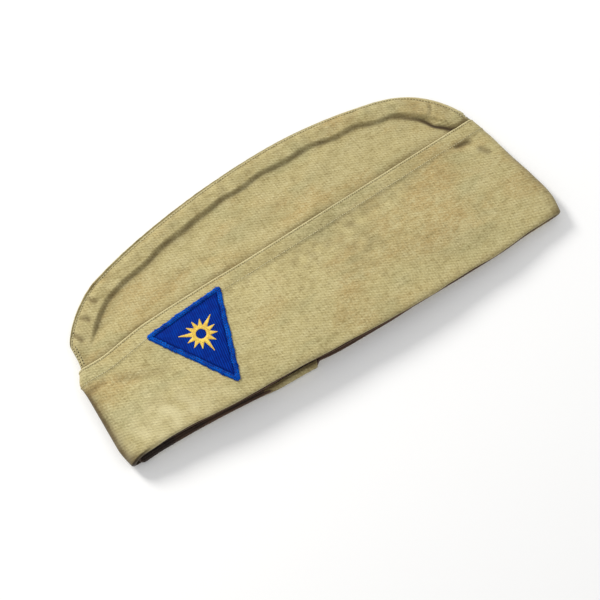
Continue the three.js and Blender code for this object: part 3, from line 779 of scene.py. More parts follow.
crownFolds = {
    "stitchInset": 0.8,  # rim to the row of stitches, mm
    "frontInset": 0.45,
    "backInset": 1.9,
    "stitchDepth": 0.28,
    "puckerDepth": 0.34,
    "wave": 0.5,
    "creaseInset": 12.3,  # rim to the dark line along the raised strip
    # amounts of painted shade with some grime along the crease, of darkening along the strip, of painted shade
    # in the puckers, and of wear with painted highlight on the rim
    "creaseShadeAndGrime": 0.5,
    "creaseUneven": 0.13,
    "stripDarkening": 0.15,
    "shade": 0.72,  # above the curtain's edge
    "shadeReach": 2.6,
    "puckerShade": 0.48,
    "backPuckerShade": 0.45,
    "seamDark": 0.85,
    "rimWearAndHighlight": 0.5,
    "undercut": [
        (238, 108.5), (243, 106.2), (249, 102.4), (256, 97.2), (258.7, 93.5), (261, 89), (265.5, 84.8),
        (270, 79), (274, 73),
    ],
    "undercutDepth": 2.8,
    "frontDepth": 1.0,
    "backDepth": 0.8,
    "frontPuckers": [
        [(23.5, 102), (25.5, 98), (28.5, 94)], [(13.5, 92.5), (17, 89.5), (19.5, 86)],
        [(5.5, 87), (8, 81.5), (10.5, 76.5)],
    ],
    "backPucker": [(267, 104), (265.7, 100), (263.5, 97), (260, 95)],
}


def stitchInset(x):  # the row leaves the rim a little towards the back
    inset = mix(crownFolds["frontInset"], crownFolds["stitchInset"], smooth(x, 40, 80))
    return mix(inset, crownFolds["backInset"], smooth(x, 252, 268))


def crownRelief(x, y):
    rim = rimDistance(x, y)
    relief = -crownFolds["stitchDepth"] * bump(rim - stitchInset(x), 0.5)
    alongRim = x * 0.8 + y * 0.25  # runs with the rim closely enough for puckers
    puckers = ripple(alongRim, rim * 0.22, 5.5, 3) * 0.6 + ripple(alongRim, rim * 0.3, 9, 4)
    relief += crownFolds["puckerDepth"] * puckers * smooth(rim, 0.3, 1.8) * (1 - smooth(rim, 5, 13))
    relief += crownFolds["wave"] * ripple(x, y * 1.6, 38, 5) * smooth(rim, 8, 20)
    relief += 0.09 * ripple(x, y, 12, 6) * smooth(rim, 4, 12)
    relief -= crownFolds["undercutDepth"] * tuck(x, y, crownFolds["undercut"], 0.9, 3.2, 0.3)
    for line in crownFolds["frontPuckers"]:
        relief -= crownFolds["frontDepth"] * groove(x, y, line, 1.3, 0.35)
    relief -= crownFolds["backDepth"] * groove(x, y, crownFolds["backPucker"], 1.1, 0.3)
    return relief * aboveCurtain(x, y, 3)


def crownMasks(x, y, folded):  # old grime and painted shade, fading, wear and painted highlight, the seam, and painted shadow in the tucks; the hidden side is left plain
    rim = rimDistance(x, y)
    above = y - curtainTop(x)
    # painted shade on the crown just above the curtain's edge
    shade = np.exp(-np.clip(above, 0, None) / crownFolds["shadeReach"]) * crownFolds["shade"] * (above > -3)
    # painted shade along the step down from the raised strip, with some grime, and a darker band below it
    # towards the front
    inside = rim - crownFolds["creaseInset"] - capShape["stripWaver"] * ripple(x, y, 26, 7)
    uneven = crownFolds["creaseShadeAndGrime"] + crownFolds["creaseUneven"] * ripple(x, y, 14, 9)
    crease = np.where(inside > 0, bump(inside, 2.6), bump(inside, 0.9)) * uneven
    crease = crease * (1 - smooth(x, 248, 256)) + 0.14 * bump(rim - 19, 6) * (1 - smooth(x, 80, 140))
    crease = crease * smooth(above, 0, 6) * pastFront(x, y, 72)
    # darker along the rim's raised strip
    strip = crownFolds["stripDarkening"] * (1 - smooth(rim, 9, 13)) * (1 + 0.6 * ripple(x, y, 9, 8))
    # painted shade in the undercut fold at the back
    fold = tuck(x, y, crownFolds["undercut"], 1.3, 1.9, 0.0) * (0.25 + 0.75 * smooth(x, 246, 257))
    # painted shade in the puckers' creases
    puckers = sum(groove(x, y, line, 1.5) for line in crownFolds["frontPuckers"])
    puckerShadeSum = puckers * crownFolds["puckerShade"]
    puckerShadeSum += groove(x, y, crownFolds["backPucker"], 1.1) * crownFolds["backPuckerShade"]
    # painted shadow, near black, at the bottom of the undercut
    tuckShadow = groove(x, y, crownFolds["undercut"], 1.1, 0, 0.1) * smooth(x, 243, 249)
    # lighter on the folded rim, as wear and painted highlight, and in a band higher on the crown
    return {
        "soiledAndShaded": np.clip(shade + strip + (crease + fold + puckerShadeSum) * folded, 0, 1),
        "wearHighlightAndShade": bump(rim - 0.1, 0.4) * crownFolds["rimWearAndHighlight"] + bump(above - 22, 12) * 0.12,
        "seam": bump(rim - stitchInset(x), 0.45) * crownFolds["seamDark"] * (above > -1),
        "tuckShadow": tuckShadow * mix(0.5, 1, smooth(x, 255, 262)) * folded,
    }


# rows: down from the rim in mm, then evenly to the curtain's top and behind the curtain to the mouth
crownGrid = {
    "left": {
        "spacing": 0.95, "plainRows": 44, "coveredRows": 11,
        "rimRows": [
            0, 0.05, 0.18, 0.4, 0.7, 1.0, 1.3, 1.6, 2.0, 2.5, 3.1, 3.8, 4.6, 5.4, 6.2, 7.0, 7.8, 8.6, 9.4,
            10.2, 11, 11.8, 12.6, 13.4, 14.2, 15, 16, 17, 18,
        ],
    },
    "right": {
        "spacing": 1.6, "plainRows": 26, "coveredRows": 14,
        "rimRows": [0, 0.06, 0.2, 0.5, 1.0, 2.0, 3.5, 6, 9, 12, 15],
    },
}


def crownPanel(side):
    rimRows = crownGrid[side]["rimRows"]
    folded = side == "left"  # the hidden side has no relief
    columns = columnsOf(crownGrid[side]["spacing"])
    top = curtainShare(columns, side)
    length = columnLength(columns, side)
    shrink = np.minimum(1, 0.75 * (1 - top) * length / rimRows[-1])
    rows = [1 - d * shrink / length for d in rimRows]
    last = rows[-1]
    rows += [mix(last, top, t) for t in np.linspace(0, 1, crownGrid[side]["plainRows"] + 1)[1:]]
    rows += [mix(top, 0, t) for t in np.linspace(0, 1, crownGrid[side]["coveredRows"] + 1)[1:-1]]
    rows += [0.35 / length, 0.1 / length, 0 * top]
    v = np.stack(rows, 1)
    u = np.broadcast_to(columns[:, None], v.shape)
    base = surfaceAt(u, v, side)
    outward = sides[side]["outward"]
    normal = normalsOf(base)
    normal = normal * np.sign(normal[..., 2:].mean()) * outward
    x, y = base[..., 0], base[..., 1]
    lift = crownRelief(x, y) if folded else np.zeros_like(x)
    room = np.maximum((base[..., 2] - midPlane(x, y)) * outward - 1.35, 0.05)
    lift = np.where(lift < 0, -room * np.tanh(-lift / room), lift)
    edge = np.minimum(np.array([*rimRows, *[9] * (v.shape[1] - len(rimRows))])[None, :], v * length[:, None])
    fromEnd = np.minimum(columns, 1 - columns) * capLength
    half = clothThick / 2 * roundOver(edge, 0.5) * roundOver(fromEnd, 0.35)[:, None]
    middle = base - normal * clothThick / 2
    middle[..., 2] += lift
    outer, inner = facesAbout(middle, normal, half)
    seam = midPlane(x, y) + outward * 0.03
    for face in (outer, inner):
        face[..., 2] = np.maximum(face[..., 2], seam) if outward > 0 else np.minimum(face[..., 2], seam)
    return clothSheet(outer, inner, np.stack([x, y], -1), crownMasks(x, y, folded))


finishPiece(crownPanel("left"), "crownUpperPanel", ["crown_left"], crownCloth)
finishPiece(crownPanel("right"), "crownLowerPanel", ["crown_right"], crownCloth)

gussetShape = {
    "depth": 11, "endDepth": 4.5, "spread": 1.42, "bend": 1.05, "cloth": 0.8, "inset": 8, "taper": 45,
    "edgeInset": 0.35, "stations": 300, "grimeAndShade": 0.45,
}


def gussetStrip(shape):
    u = np.linspace(shape["inset"] / rimLength, 1 - shape["inset"] / rimLength, shape["stations"])
    at = alongLine(rimFine, u * rimLength)
    tangent = unit(np.gradient(at, axis=0))
    inward = np.stack([tangent[:, 1], -tangent[:, 0]], 1)
    fromEnd = np.minimum(u, 1 - u) * rimLength - shape["inset"]
    depth = mix(shape["endDepth"], shape["depth"], smooth(fromEnd, 0, shape["taper"]))
    mid = midPlane(at[:, 0], at[:, 1])
    faces = []
    for skin in (0.0, shape["cloth"]):
        bend = shape["bend"] - skin
        legs = []
        for t in (0, 0.04, 0.12, 0.3, 0.55, 0.8):
            inset = mix(shape["edgeInset"], depth - shape["bend"], t)
            legs.append((inset, mix(shape["spread"], shape["bend"], t) - skin))
        turns = np.radians([90, 60, 30, 0, -30, -60, -90])
        nose = [(depth - shape["bend"] + bend * math.cos(turn), bend * math.sin(turn)) for turn in turns]
        profile = [*legs, *nose, *((inset, -rise) for inset, rise in legs[::-1])]
        rows = []
        for inset, rise in profile:
            inset = np.broadcast_to(inset, u.shape)
            rows.append(np.concatenate([at + inward * inset[:, None], (mid + rise)[:, None]], 1))
        faces.append(np.stack(rows, 1))
    outer, inner = faces
    middle = (outer + inner) / 2
    for edge in (0, -1):
        outer[:, edge] = inner[:, edge] = middle[:, edge]
        outer[edge] = inner[edge] = middle[edge]
    across = runAcross(middle)
    uv = np.stack([np.broadcast_to((u * rimLength)[:, None], across.shape), across], -1)
    soiledAndShaded = np.full(across.shape, shape["grimeAndShade"])
    return clothSheet(outer, inner, uv, {"soiledAndShaded": soiledAndShaded, "wearHighlightAndShade": np.zeros_like(soiledAndShaded)})


finishPiece(gussetStrip(gussetShape), "crownGusset", ["crown_gusset"], gussetCloth)
print("crown made")


curtainFolds = {
    "spacing": 0.98,
    "lowerSpacing": 2.2,
    "firstRow": 1.35,  # rows of stitches, from the top edge
    "secondRow": 8.9,
    "hemEnd": (9.1, 10.6),  # the hem's extra thickness runs out between these
    "stitchDepth": 0.2,
    "wave": 0.4,
    # creases pressed into the curtain, darkened along them with painted shade and grime
    "marks": {
        "pinch": {
            "line": [(260, 68.9), (265, 68.3), (270, 67.7), (277, 66.3)],
            "depth": 0.6, "width": 1.6, "lip": 0.3, "grimeAndShade": 0.45, "grimeAndShadeWidth": 2.6,
        },
        "smudge": {
            "line": [(275.2, 63), (277, 57.5), (281, 53.5)],
            "depth": 0.5, "width": 1.8, "lip": 0.2, "grimeAndShade": 0.5, "grimeAndShadeWidth": 2.8,
        },
        "frontCrease": {
            "line": [(-3, 50), (1.5, 49.2), (6.5, 49.4), (12, 50.5)],
            "depth": 0.5, "width": 1.5, "lip": 0.3, "grimeAndShade": 0.35, "grimeAndShadeWidth": 2.2,
        },
        "underHem": {
            "line": [(10, 49), (17, 46), (25.5, 42.8), (33.7, 39.8), (42.7, 37), (53, 33.5)],
            "depth": 0.7, "width": 3.2, "lip": 0.3, "grimeAndShade": 0.25, "grimeAndShadeWidth": 4,
        },
    },
    # painted shadow in the pinch
    "pinchShadow": 0.42,
    "foldShadow": 0.42,  # painted shadow in the cap's front fold
    # browner and darker at the mouth's edge and the front corner: grime, and painted shade where the cloth
    # rounds away
    "mouthGrimeAndShade": 0.3,
    "cornerGrimeAndShade": 0.35,
    # darker over the hem band
    "hemDarkening": 0.17,
    # lighter along the folded top edge: wear and painted highlight
    "edgeWearAndHighlight": 0.9,
    "seamDark": 0.5,
    # along, up, half width, half height and how much darker (or lighter, below 0)
    "patches": [
        (200, 62, 75, 7, 0.1), (165, 44, 62, 18, 0.15), (215, 20, 40, 13, 0.14), (182, 45, 16, 9, 0.08),
        (162, 57, 34, 6, 0.11), (25, 14, 28, 15, -0.45), (50, 9, 26, 12, -0.22), (22, 32, 20, 7, -0.12),
        (278, 14, 12, 16, -0.14), (252, 40, 20, 9, -0.1), (246, 55, 26, 6, 0.1), (120, 15, 30, 8, 0.06),
    ],
}


def curtainRelief(x, y, down):
    hemmed = 1 - smooth(down, 8.7, 9.6)
    rows = bump(down - curtainFolds["firstRow"], 0.42) + 0.5 * bump(down - curtainFolds["secondRow"], 0.5)
    relief = -curtainFolds["stitchDepth"] * rows
    relief += 0.1 * bump(down - 4.8, 2.2)
    relief += 0.07 * ripple(x, down * 0.4, 4.5, 11) * hemmed
    relief += 0.09 * ripple(x, down * 0.35, 6, 12) * (1 - hemmed) * (1 - smooth(down, 12, 22))
    waves = curtainFolds["wave"] * ripple(x, y, 42, 13) + 0.1 * ripple(x, y, 14, 14)
    relief += waves * smooth(down, 6, 16)
    for mark in curtainFolds["marks"].values():
        relief -= mark["depth"] * groove(x, y, mark["line"], mark["width"], mark["lip"])
    return relief


def curtainMasks(folds, full, down, fromFold, isLeft):  # old grime and painted shade, fading, wear and painted highlight, the seam, and painted shadow in the tucks
    x, y = full[..., 0], full[..., 1]
    extra = full.shape[1] - down.shape[1]
    allDown = np.concatenate([down, np.repeat(down[:, -1:], extra, 1)], 1)
    fromMouth = np.concatenate([down[:, -1:] - down, np.zeros((len(down), extra))], 1)
    # browner and darker at the front fold, the corner and the mouth's edge: grime, and painted shade where the
    # cloth rounds away
    atFront = x < 100
    foldGrimeAndShade = np.exp(-fromFold / 1.9)[:, None] * (0.55 + 0.45 * atFront)
    foldGrimeAndShade += 0.3 * np.exp(-fromFold / 5)[:, None] * atFront
    foldGrimeAndShade *= smooth(58 - y, 0, 12)
    corner = bump(np.hypot(x + 1, y + 1), 6)
    soiledAndShaded = bump(fromMouth, 2.2) * folds["mouthGrimeAndShade"] + foldGrimeAndShade + corner * folds["cornerGrimeAndShade"]
    # darker over the hem band
    inHem = smooth(allDown, 1.2, 2.2) * (1 - smooth(allDown, 8.6, 9.4))
    soiledAndShaded += folds["hemDarkening"] * inHem * (0.55 + 0.45 * smooth(x, 60, 130))
    # painted shade just below the second row of stitches
    soiledAndShaded += bump(allDown - folds["secondRow"] - 1.4, 1.3) * (0.1 + 0.14 * bump(x - 205, 60))
    # painted shade with grime along the creases
    for mark in folds["marks"].values():
        soiledAndShaded += mark["grimeAndShade"] * groove(x, y, mark["line"], mark["grimeAndShadeWidth"]) * isLeft
    # lighter along the folded top edge: wear and painted highlight
    wearHighlightAndShade = bump(allDown, 0.8) * folds["edgeWearAndHighlight"]
    for at, high, long, wide, amount in folds["patches"]:
        soft = bump((x - at) / long, 1) * bump((y - high) / wide, 1) * (1 + 0.5 * ripple(x, y, 11, 17))
        soiledAndShaded, wearHighlightAndShade = soiledAndShaded + max(amount, 0) * soft, wearHighlightAndShade + max(-amount, 0) * soft
    # painted shadow in the pinch and in the front fold
    tuckShadow = folds["pinchShadow"] * groove(x, y, folds["marks"]["pinch"]["line"], 1.3, 0, 0.4) * isLeft
    frontFoldOnly = atFront * smooth(58 - y, 0, 12)
    tuckShadow += folds["foldShadow"] * np.exp(-fromFold / 1.1)[:, None] * frontFoldOnly
    # painted shadow on the rows turned under near the front
    turnedUnder = np.arange(x.shape[1]) > down.shape[1]
    tuckShadow = np.clip(tuckShadow + 0.85 * turnedUnder * (1 - smooth(x, 7, 15)), 0, 1)
    seam = bump(allDown - folds["firstRow"], 0.4) * folds["seamDark"]
    return {"soiledAndShaded": np.clip(soiledAndShaded, 0, 1), "wearHighlightAndShade": np.clip(wearHighlightAndShade, 0, 1), "seam": seam, "tuckShadow": tuckShadow}


def curtainColumns(folds, hemRows, plain):  # round the cap: the crown's surface under the band, and so on
    places, downs, lefts = [], [], []
    for side, spacing in (("left", folds["spacing"]), ("right", folds["lowerSpacing"])):
        columns = columnsOf(spacing)
        top, length = curtainShare(columns, side), columnLength(columns, side)
        down = np.stack([np.full(columns.shape, float(d)) for d in hemRows], 1)
        rest = top * length - hemRows[-1]
        down = np.concatenate([down, hemRows[-1] + rest[:, None] * plain[None]], 1)
        v = np.clip(top[:, None] - down / length[:, None], 0, 1)
        points = surfaceAt(columns[:, None], v, side)
        order = slice(None, None, 1 if side == "left" else -1)
        places.append(points[order])
        downs.append(down[order])
        lefts.append(np.full(columns.shape, side == "left"))
    return np.concatenate(places), np.concatenate(downs), np.concatenate(lefts)


def turnUnder(outer, inner, bottom, normal, upward):  # round the mouth and in under the crown's edge
    reachOut, reachIn = (((face[:, -1] - bottom) * normal).sum(1) for face in (outer, inner))
    centre, spread = (reachOut + reachIn) / 2, (reachOut - reachIn) / 2
    extraOuter, extraInner = [], []
    for turn in np.radians([15, 30, 45, 60, 75, 90]):
        way = normal * math.cos(turn) - upward * math.sin(turn)
        extraOuter.append(bottom + way * reachOut[:, None])
        extraInner.append(bottom + way * reachIn[:, None])
    for run in (0.35, 0.7, 0.88, 0.97, 1.0):
        start = bottom - normal * run
        thin = spread * float(roundOver(np.float64(1.0 - run), 0.3))
        extraOuter.append(start - upward * (centre + thin)[:, None])
        extraInner.append(start - upward * (centre - thin)[:, None])
    faces = ((outer, extraOuter), (inner, extraInner))
    return (np.concatenate([face, np.stack(extra, 1)], 1) for face, extra in faces)


def curtainBand(folds):
    hemRows = [
        0, 0.04, 0.14, 0.3, 0.5, 0.75, 1.05, 1.35, 1.65, 2.0, 2.6, 3.4, 4.3, 5.2, 6.2, 7.1, 7.8, 8.3, 8.6, 8.9,
        9.2, 9.5, 9.8, 10.2, 10.8, 11.5,
    ]
    plain = np.linspace(0, 1, 60)[1:]
    base, down, isLeft = curtainColumns(folds, hemRows, plain)
    plainRow, lengthRow = 30, 40  # on the plain cloth: one tells the place along it, one the length round it
    along = base[:, plainRow, 0]
    fromFold = np.minimum(along - along.min(), along.max() - along)
    fromFoldShare = smooth(fromFold, 0, 4)
    isLeft = np.where(isLeft, mix(0.5, 1, fromFoldShare), mix(0.5, 0, fromFoldShare))[:, None]
    normal = -normalsOf(base, closed=True)
    upward = unit(-np.gradient(base, axis=1))
    x, y = base[..., 0], base[..., 1]
    inHem = 1 - smooth(down, *folds["hemEnd"])
    innerOff = layerGap + (1 - inHem) * (1 - isLeft) * capShape["hem"]
    outerOff = wrap - (1 - inHem) * isLeft * capShape["hem"]
    thick = outerOff - innerOff
    middle = (innerOff + outerOff) / 2
    ease = roundOver(down, 0.6)
    half = thick / 2 * ease
    faceUp = smooth(normal[..., 2], 0.2, 0.7)
    lift = curtainRelief(x, y, down) * faceUp
    edgeLift = 0.25 * np.clip(ripple(x, y * 0, 30, 16), -0.4, 1) * bump(down, 3.5) * faceUp
    outer = base + normal * (middle + half + (lift + edgeLift) * ease)[..., None]
    inner = base + normal * (middle - half + edgeLift * 0.8)[..., None]
    outer[:, 0] = inner[:, 0] = (outer[:, 0] + inner[:, 0]) / 2
    outer, inner = turnUnder(outer, inner, base[:, -1], normal[:, -1], upward[:, -1])
    full = (outer + inner) / 2
    runAlong = runOf(np.concatenate([full[:, lengthRow], full[:1, lengthRow]]))
    runDown = runAcross(full)
    runDown = runDown[:, len(hemRows) + len(plain) - 1][:, None] - runDown
    runDown = np.concatenate([runDown, runDown[:1]])
    uv = np.stack([np.broadcast_to(runAlong[:, None], runDown.shape), runDown], -1)
    masks = curtainMasks(folds, full, down, fromFold, isLeft)
    lines = {}
    for name in ("firstRow", "secondRow"):
        row = int(np.argmin(np.abs(np.array(hemRows) - folds[name])))
        lines[name] = (outer[:, row], normal[:, row])
    return clothSheet(outer, inner, uv, masks, closed=True), lines


piece, hemLines = curtainBand(curtainFolds)
finishPiece(piece, "curtainBand", ["curtain_left", "curtain_right"], curtainCloth)

sweatbandShape = {
    "height": 30.0, "tip": 3.4, "leather": 1.0, "ribs": [1.1, 2.5, 3.9], "ribHeight": 0.28, "stitchUp": 28.2,
    "overhang": 1.6, "stations": 230,
}
letDown = {"start": 78.0, "end": 118.4, "slant": 0.5, "thick": 0.8, "lines": 0.12}


def overhangAt(x):
    return sweatbandShape["overhang"] * (1 - 0.42 * bump(x - 111, 13))


def letDownFold(shape):  # the lower half's cloth, let down over the sweatband's edge
    profile = [  # inward from the mouth's edge, and up
        (0.3, 0.9), (-0.02, 1.4), (-0.16, 2.4), (0.02, 3.5), (0.55, 4.35), (1.4, 4.72), (2.4, 4.78),
        (3.5, 4.66),
    ]
    line = lineThrough(profile, 12)
    count = 34
    fine = alongLine(line, np.linspace(0, runOf(line)[-1], count))
    t = np.linspace(0, 1, 90)[:, None]
    inward, high = fine[:, 0][None], fine[:, 1][None]
    x = mix(shape["start"], shape["end"] + shape["slant"] * inward, t)
    settle = smooth(x, shape["start"], shape["start"] + 16)
    y = mouthEdge(x, 2) + inward + (1 - settle) * 0.9 - overhangAt(x)
    lines = shape["lines"] * np.sin(inward * 5.2 + 0.8 * ripple(x, inward, 12, 41)) * smooth(inward, 0.3, 1.2)
    z = mix(1.5, high, 0.45 + 0.55 * settle) + lines + 0.12 * ripple(x, inward, 9, 42)
    middle = np.stack([x, y, z], -1)
    normal = normalsOf(middle)
    normal = normal * np.sign(normal[..., 2].mean())
    fromEnd = np.minimum(t, 1 - t) * 38
    across = np.minimum(np.arange(count), np.arange(count)[::-1])[None] * 0.2
    half = shape["thick"] / 2 * roundOver(np.minimum(fromEnd, across), 0.4)
    outer, inner = facesAbout(middle, normal, half)
    # painted shade over the whole fold, most at its upper edge and its left end, where it lies in shadow
    soiledAndShaded = 0.3 + 0.45 * smooth(inward, 0.4, 2.6)
    soiledAndShaded = soiledAndShaded + 0.35 * (1 - smooth(x, 84, 104)) + 0.15 * smooth(x, 108, 117)
    masks = {"soiledAndShaded": np.clip(soiledAndShaded, 0, 1), "wearHighlightAndShade": 0 * x, "seam": 0 * x}
    return clothSheet(outer, inner, np.stack([x, np.broadcast_to(inward, x.shape)], -1), masks)


finishPiece(letDownFold(letDown), "curtainLetDown", [], curtainCloth)
print("curtain made")


def sweatbandLoop(shape):
    under = clothThick + layerGap
    ups = np.concatenate(
        [[0, 0.06, 0.2, 0.45], np.arange(0.75, 6.2, 0.35), np.linspace(6.6, 29, 20), [29.5, 29.8, 29.95, 30]]
    )

    def leg(face, inward, column, skin):
        def at(x, up):
            over = overhangAt(x) * (1 - smooth(x, 165, 215)) * (1 - smooth(up, 5, 20)) * (column == 2)
            y = mouthEdge(x, column) + up - over
            slopeX = face(x + 0.5, y) - face(x - 0.5, y)
            slopeY = face(x, y + 0.5) - face(x, y - 0.5)
            z = face(x, y) + inward * (under + skin) * np.sqrt(1 + slopeX**2 + slopeY**2)
            return np.stack([x, y, z], -1)

        return at

    def loop(skin):
        upper, lower = leg(leftFace, -1, 1, skin), leg(rightFace, 1, 2, skin)
        ends = []
        for foldAt, inward in ((frontFold, 1), (backFold, -1)):
            tip = foldAt(ups) + inward * (wrap + shape["tip"])
            x = tip + inward * 2 * shape["tip"]
            radius = (upper(x, ups)[:, 2] - lower(x, ups)[:, 2]) / 2 + skin
            ends.append((tip + inward * radius, -inward * (radius - skin)))
        shares = np.linspace(0, 1, shape["stations"])[:, None]

        def turned(which, angle, sign):
            x, reach = ends[which]
            a, b = upper(x, ups), lower(x, ups)
            rise = sign * (a[:, 2] - b[:, 2]) / 2 * math.sin(angle)
            y = mix(a[:, 1], b[:, 1], (1 - sign * math.sin(angle)) / 2)
            return np.stack([x + reach * math.cos(angle), y, (a[:, 2] + b[:, 2]) / 2 + rise], -1)

        quarter = np.radians([15, 30, 45, 60, 75])
        columns = [turned(0, angle, 1) for angle in (0.0, *quarter)]
        columns += list(upper(mix(ends[0][0], ends[1][0], shares), ups + 0 * shares))
        columns += [turned(1, angle, 1) for angle in (*quarter[::-1], 0.0)]
        columns += [turned(1, angle, -1) for angle in quarter]
        columns += list(lower(mix(ends[1][0], ends[0][0], shares), ups + 0 * shares))
        columns += [turned(0, angle, -1) for angle in quarter[::-1]]
        return np.stack(columns)

    outer, inner = loop(0.0), loop(shape["leather"])
    middle = (outer + inner) / 2
    thin = roundOver(np.minimum(ups, shape["height"] - ups), 0.5)[None, :, None]
    ribs = sum(bump(ups - rib, 0.42) for rib in shape["ribs"]) * shape["ribHeight"]
    stitchDip = -0.15 * bump(ups - shape["stitchUp"], 0.5)
    toInner = unit(inner - outer)
    outer = middle + (outer - middle) * thin
    inner = middle + (inner - middle) * thin + toInner * (ribs + stitchDip)[None, :, None]
    run = runOf(np.concatenate([middle[:, 10], middle[:1, 10]]))
    uv = np.stack(np.broadcast_arrays(run[:, None], ups[None]), -1)
    # lighter on the ribs and along the lower edge
    wearHighlightAndShade = ribs / shape["ribHeight"] * 0.5 + bump(ups, 0.5) * 0.6
    wearHighlightAndShade = wearHighlightAndShade * mix(0.15, 1, smooth(middle[..., 0], 10, 60))
    return clothSheet(inner, outer, uv, {"wearHighlightAndShade": np.clip(wearHighlightAndShade, 0, 1)}, closed=True)


piece = sweatbandLoop(sweatbandShape)
finishPiece(piece, "sweatbandLoop", ["sweatband_left", "sweatband_right"], leatherFinish)
print("sweatband made")


def copiesOf(model, places):  # one mesh a copy, joined into a single piece
    copies = []
    for place in places:
        copied = model.copy()
        copied.data = model.data.copy()
        copied.data.transform(place)
        bpy.context.scene.collection.objects.link(copied)
        copies.append(copied)
    bpy.data.objects.remove(model)
    nothingSelected()
    for copied in copies:
        copied.select_set(True)
    bpy.context.view_layer.objects.active = copies[0]
    bpy.ops.object.join()
    bpy.ops.object.shade_smooth()
    return bpy.context.object


def placeAt(point, forward, up, size):  # matrix in metres from a place and directions in cap millimetres
    forward = forward / np.linalg.norm(forward)
    up = up - forward * up.dot(forward)
    up = up / np.linalg.norm(up)
    side = np.cross(up, forward)
    place = (point - capOrigin) / 1000
    columns = [forward * size[0], side * size[1], up * size[2]]
    return Matrix([[*(float(c[k]) for c in columns), float(place[k])] for k in range(3)] + [[0, 0, 0, 1]])


def threadModel(rings=5):  # a short plump thread, 1 mm long and wide, along x
    radius = 0.0005
    nothingSelected()
    bpy.ops.mesh.primitive_uv_sphere_add(segments=6, ring_count=rings, radius=radius)
    model = bpy.context.object
    inEditMode(
        lambda: bpy.ops.transform.rotate(value=math.radians(90), orient_axis="Y", center_override=(0, 0, 0))
    )
    for vertex in model.data.vertices:  # blunter ends than a ball's
        vertex.co.x = radius * math.copysign(abs(vertex.co.x / radius) ** 0.8, vertex.co.x)
    return model


stitchLook = {
    "pitch": 1.9, "length": 1.05, "width": 0.55, "height": 0.46, "lift": 0.12, "uneven": 0.14, "hole": 1.0
}
hemStitchLook = {**stitchLook, "pitch": 1.5, "length": 0.85, "hole": 0.85}
faintStitchLook = {**hemStitchLook, "length": 1.1, "width": 0.62, "height": 0.4, "hole": 0.36}
needleHoleShades = []  # places of the painted shade discs in the holes between the stitches of every row made so far


def stitchPlaces(line, normals, look, seed):
    run = runOf(line)
    dice = np.random.RandomState(seed)
    at = np.arange(look["pitch"] / 2, run[-1] - 0.3, look["pitch"])
    at = at + dice.uniform(-0.06, 0.06, len(at)) * look["pitch"]
    points, ups = alongLine(line, at), np.stack([np.interp(at, run, normals[:, k]) for k in range(3)], 1)
    forward = alongLine(line, at + 0.3) - alongLine(line, at - 0.3)
    places = []
    for point, way, up in zip(points, forward, ups):
        way = way / np.linalg.norm(way) + np.cross(up, way) * dice.uniform(-0.06, 0.06)
        grow = 1 + dice.uniform(-1, 1) * look["uneven"]
        size = (look["length"] * grow, look["width"] * grow, look["height"])
        places.append(placeAt(point + up * look["lift"], way, up, size))
    between = alongLine(line, at + look["pitch"] / 2)
    for point, way, up in zip(between, forward, ups):
        needleHoleShades.append(placeAt(point, way, up, (look["hole"], look["hole"] * 0.8, 0.14)))
    return places


def upperFacePlaces(x, y):  # places and normals on the upper side of the crown
    def height(a, b):
        return leftFace(a, b) + crownRelief(a, b)

    z = height(x, y)
    slopeX, slopeY = height(x + 0.2, y) - height(x - 0.2, y), height(x, y + 0.2) - height(x, y - 0.2)
    return np.stack([x, y, z], -1), unit(np.stack([-slopeX / 0.4, -slopeY / 0.4, np.ones_like(x)], -1))


def rimSeam(start, end):  # line along the rim, moved in from it
    at = np.linspace(start, rimLength - end, 500)
    line = alongLine(rimEdge, at)
    tangent = unit(np.gradient(line, axis=0))
    return line + np.stack([tangent[:, 1], -tangent[:, 0]], 1) * stitchInset(line[:, 0])[:, None]


places = []
seam = rimSeam(1.0, 3.0)
points, normals = upperFacePlaces(seam[:, 0], seam[:, 1])
places += stitchPlaces(points, normals, stitchLook, 21)
for inset in (1.3, 3.0):  # double row down the front seam
    y = np.linspace(64.5, 77.5, 60)
    x = np.interp(y, foldHeights, frontPoints[:, 0]) + inset
    points, normals = upperFacePlaces(x, y)
    places += stitchPlaces(points, normals, stitchLook, 22)
finishPiece(copiesOf(threadModel(), places), "crownStitches", [], sewingFinish)
places = []
for name, look, seed in (("firstRow", hemStitchLook, 23), ("secondRow", faintStitchLook, 24)):
    line, normals = (np.concatenate([part, part[:1]]) for part in hemLines[name])
    places += stitchPlaces(line, normals, look, seed)
finishPiece(copiesOf(threadModel(), places), "curtainStitches", [], sewingFinish)
finishPiece(copiesOf(threadModel(4), needleHoleShades), "needleHoleShades", [], holeShadeFinish)
needleHoleShades.clear()
print("stitches made")


badgeShape = {
    "width": 54.0, "drop": 57.2, "skew": 1.8, "turn": 5.8, "along": 67.2, "up": 63.3, "cloth": 0.75,
    "borderWidth": 3.0, "borderHeight": 1.35, "corner": 0.2, "ribPitch": 1.3, "ribHeight": 0.2, "ribTurn": 75,
    "overlap": 0.9,  # of the ground under the border
    "coreShare": (0.86, 0.82),  # of the border's half width and height
    "sewnInset": 0.9,  # the ground's edge to the furrow that the sewing draws in
    "sewnAt": 1.85,  # the badge's edge to the sewing
    "sewnCorner": 0.8,
    "sewnHeight": 0.98,
    # the border's strands; the dip is the groove that runs round the border
    "strandPitch": 0.78, "strandHalf": 0.43, "strandThick": 0.3, "strandLean": 0.75, "strandDip": 0.3,
    "strandWander": 0.28,
    # the emblem: place, radii, rays and its threads
    "emblemDown": 18.6, "ring": 5.4, "hole": 3.1, "ray": 9.4, "longRay": 13.2, "rays": 12, "rayWidth": 2.7,
    "ringTurns": 66, "threadPitch": 0.37, "threadWidth": 0.5, "threadHeight": 0.62,
}


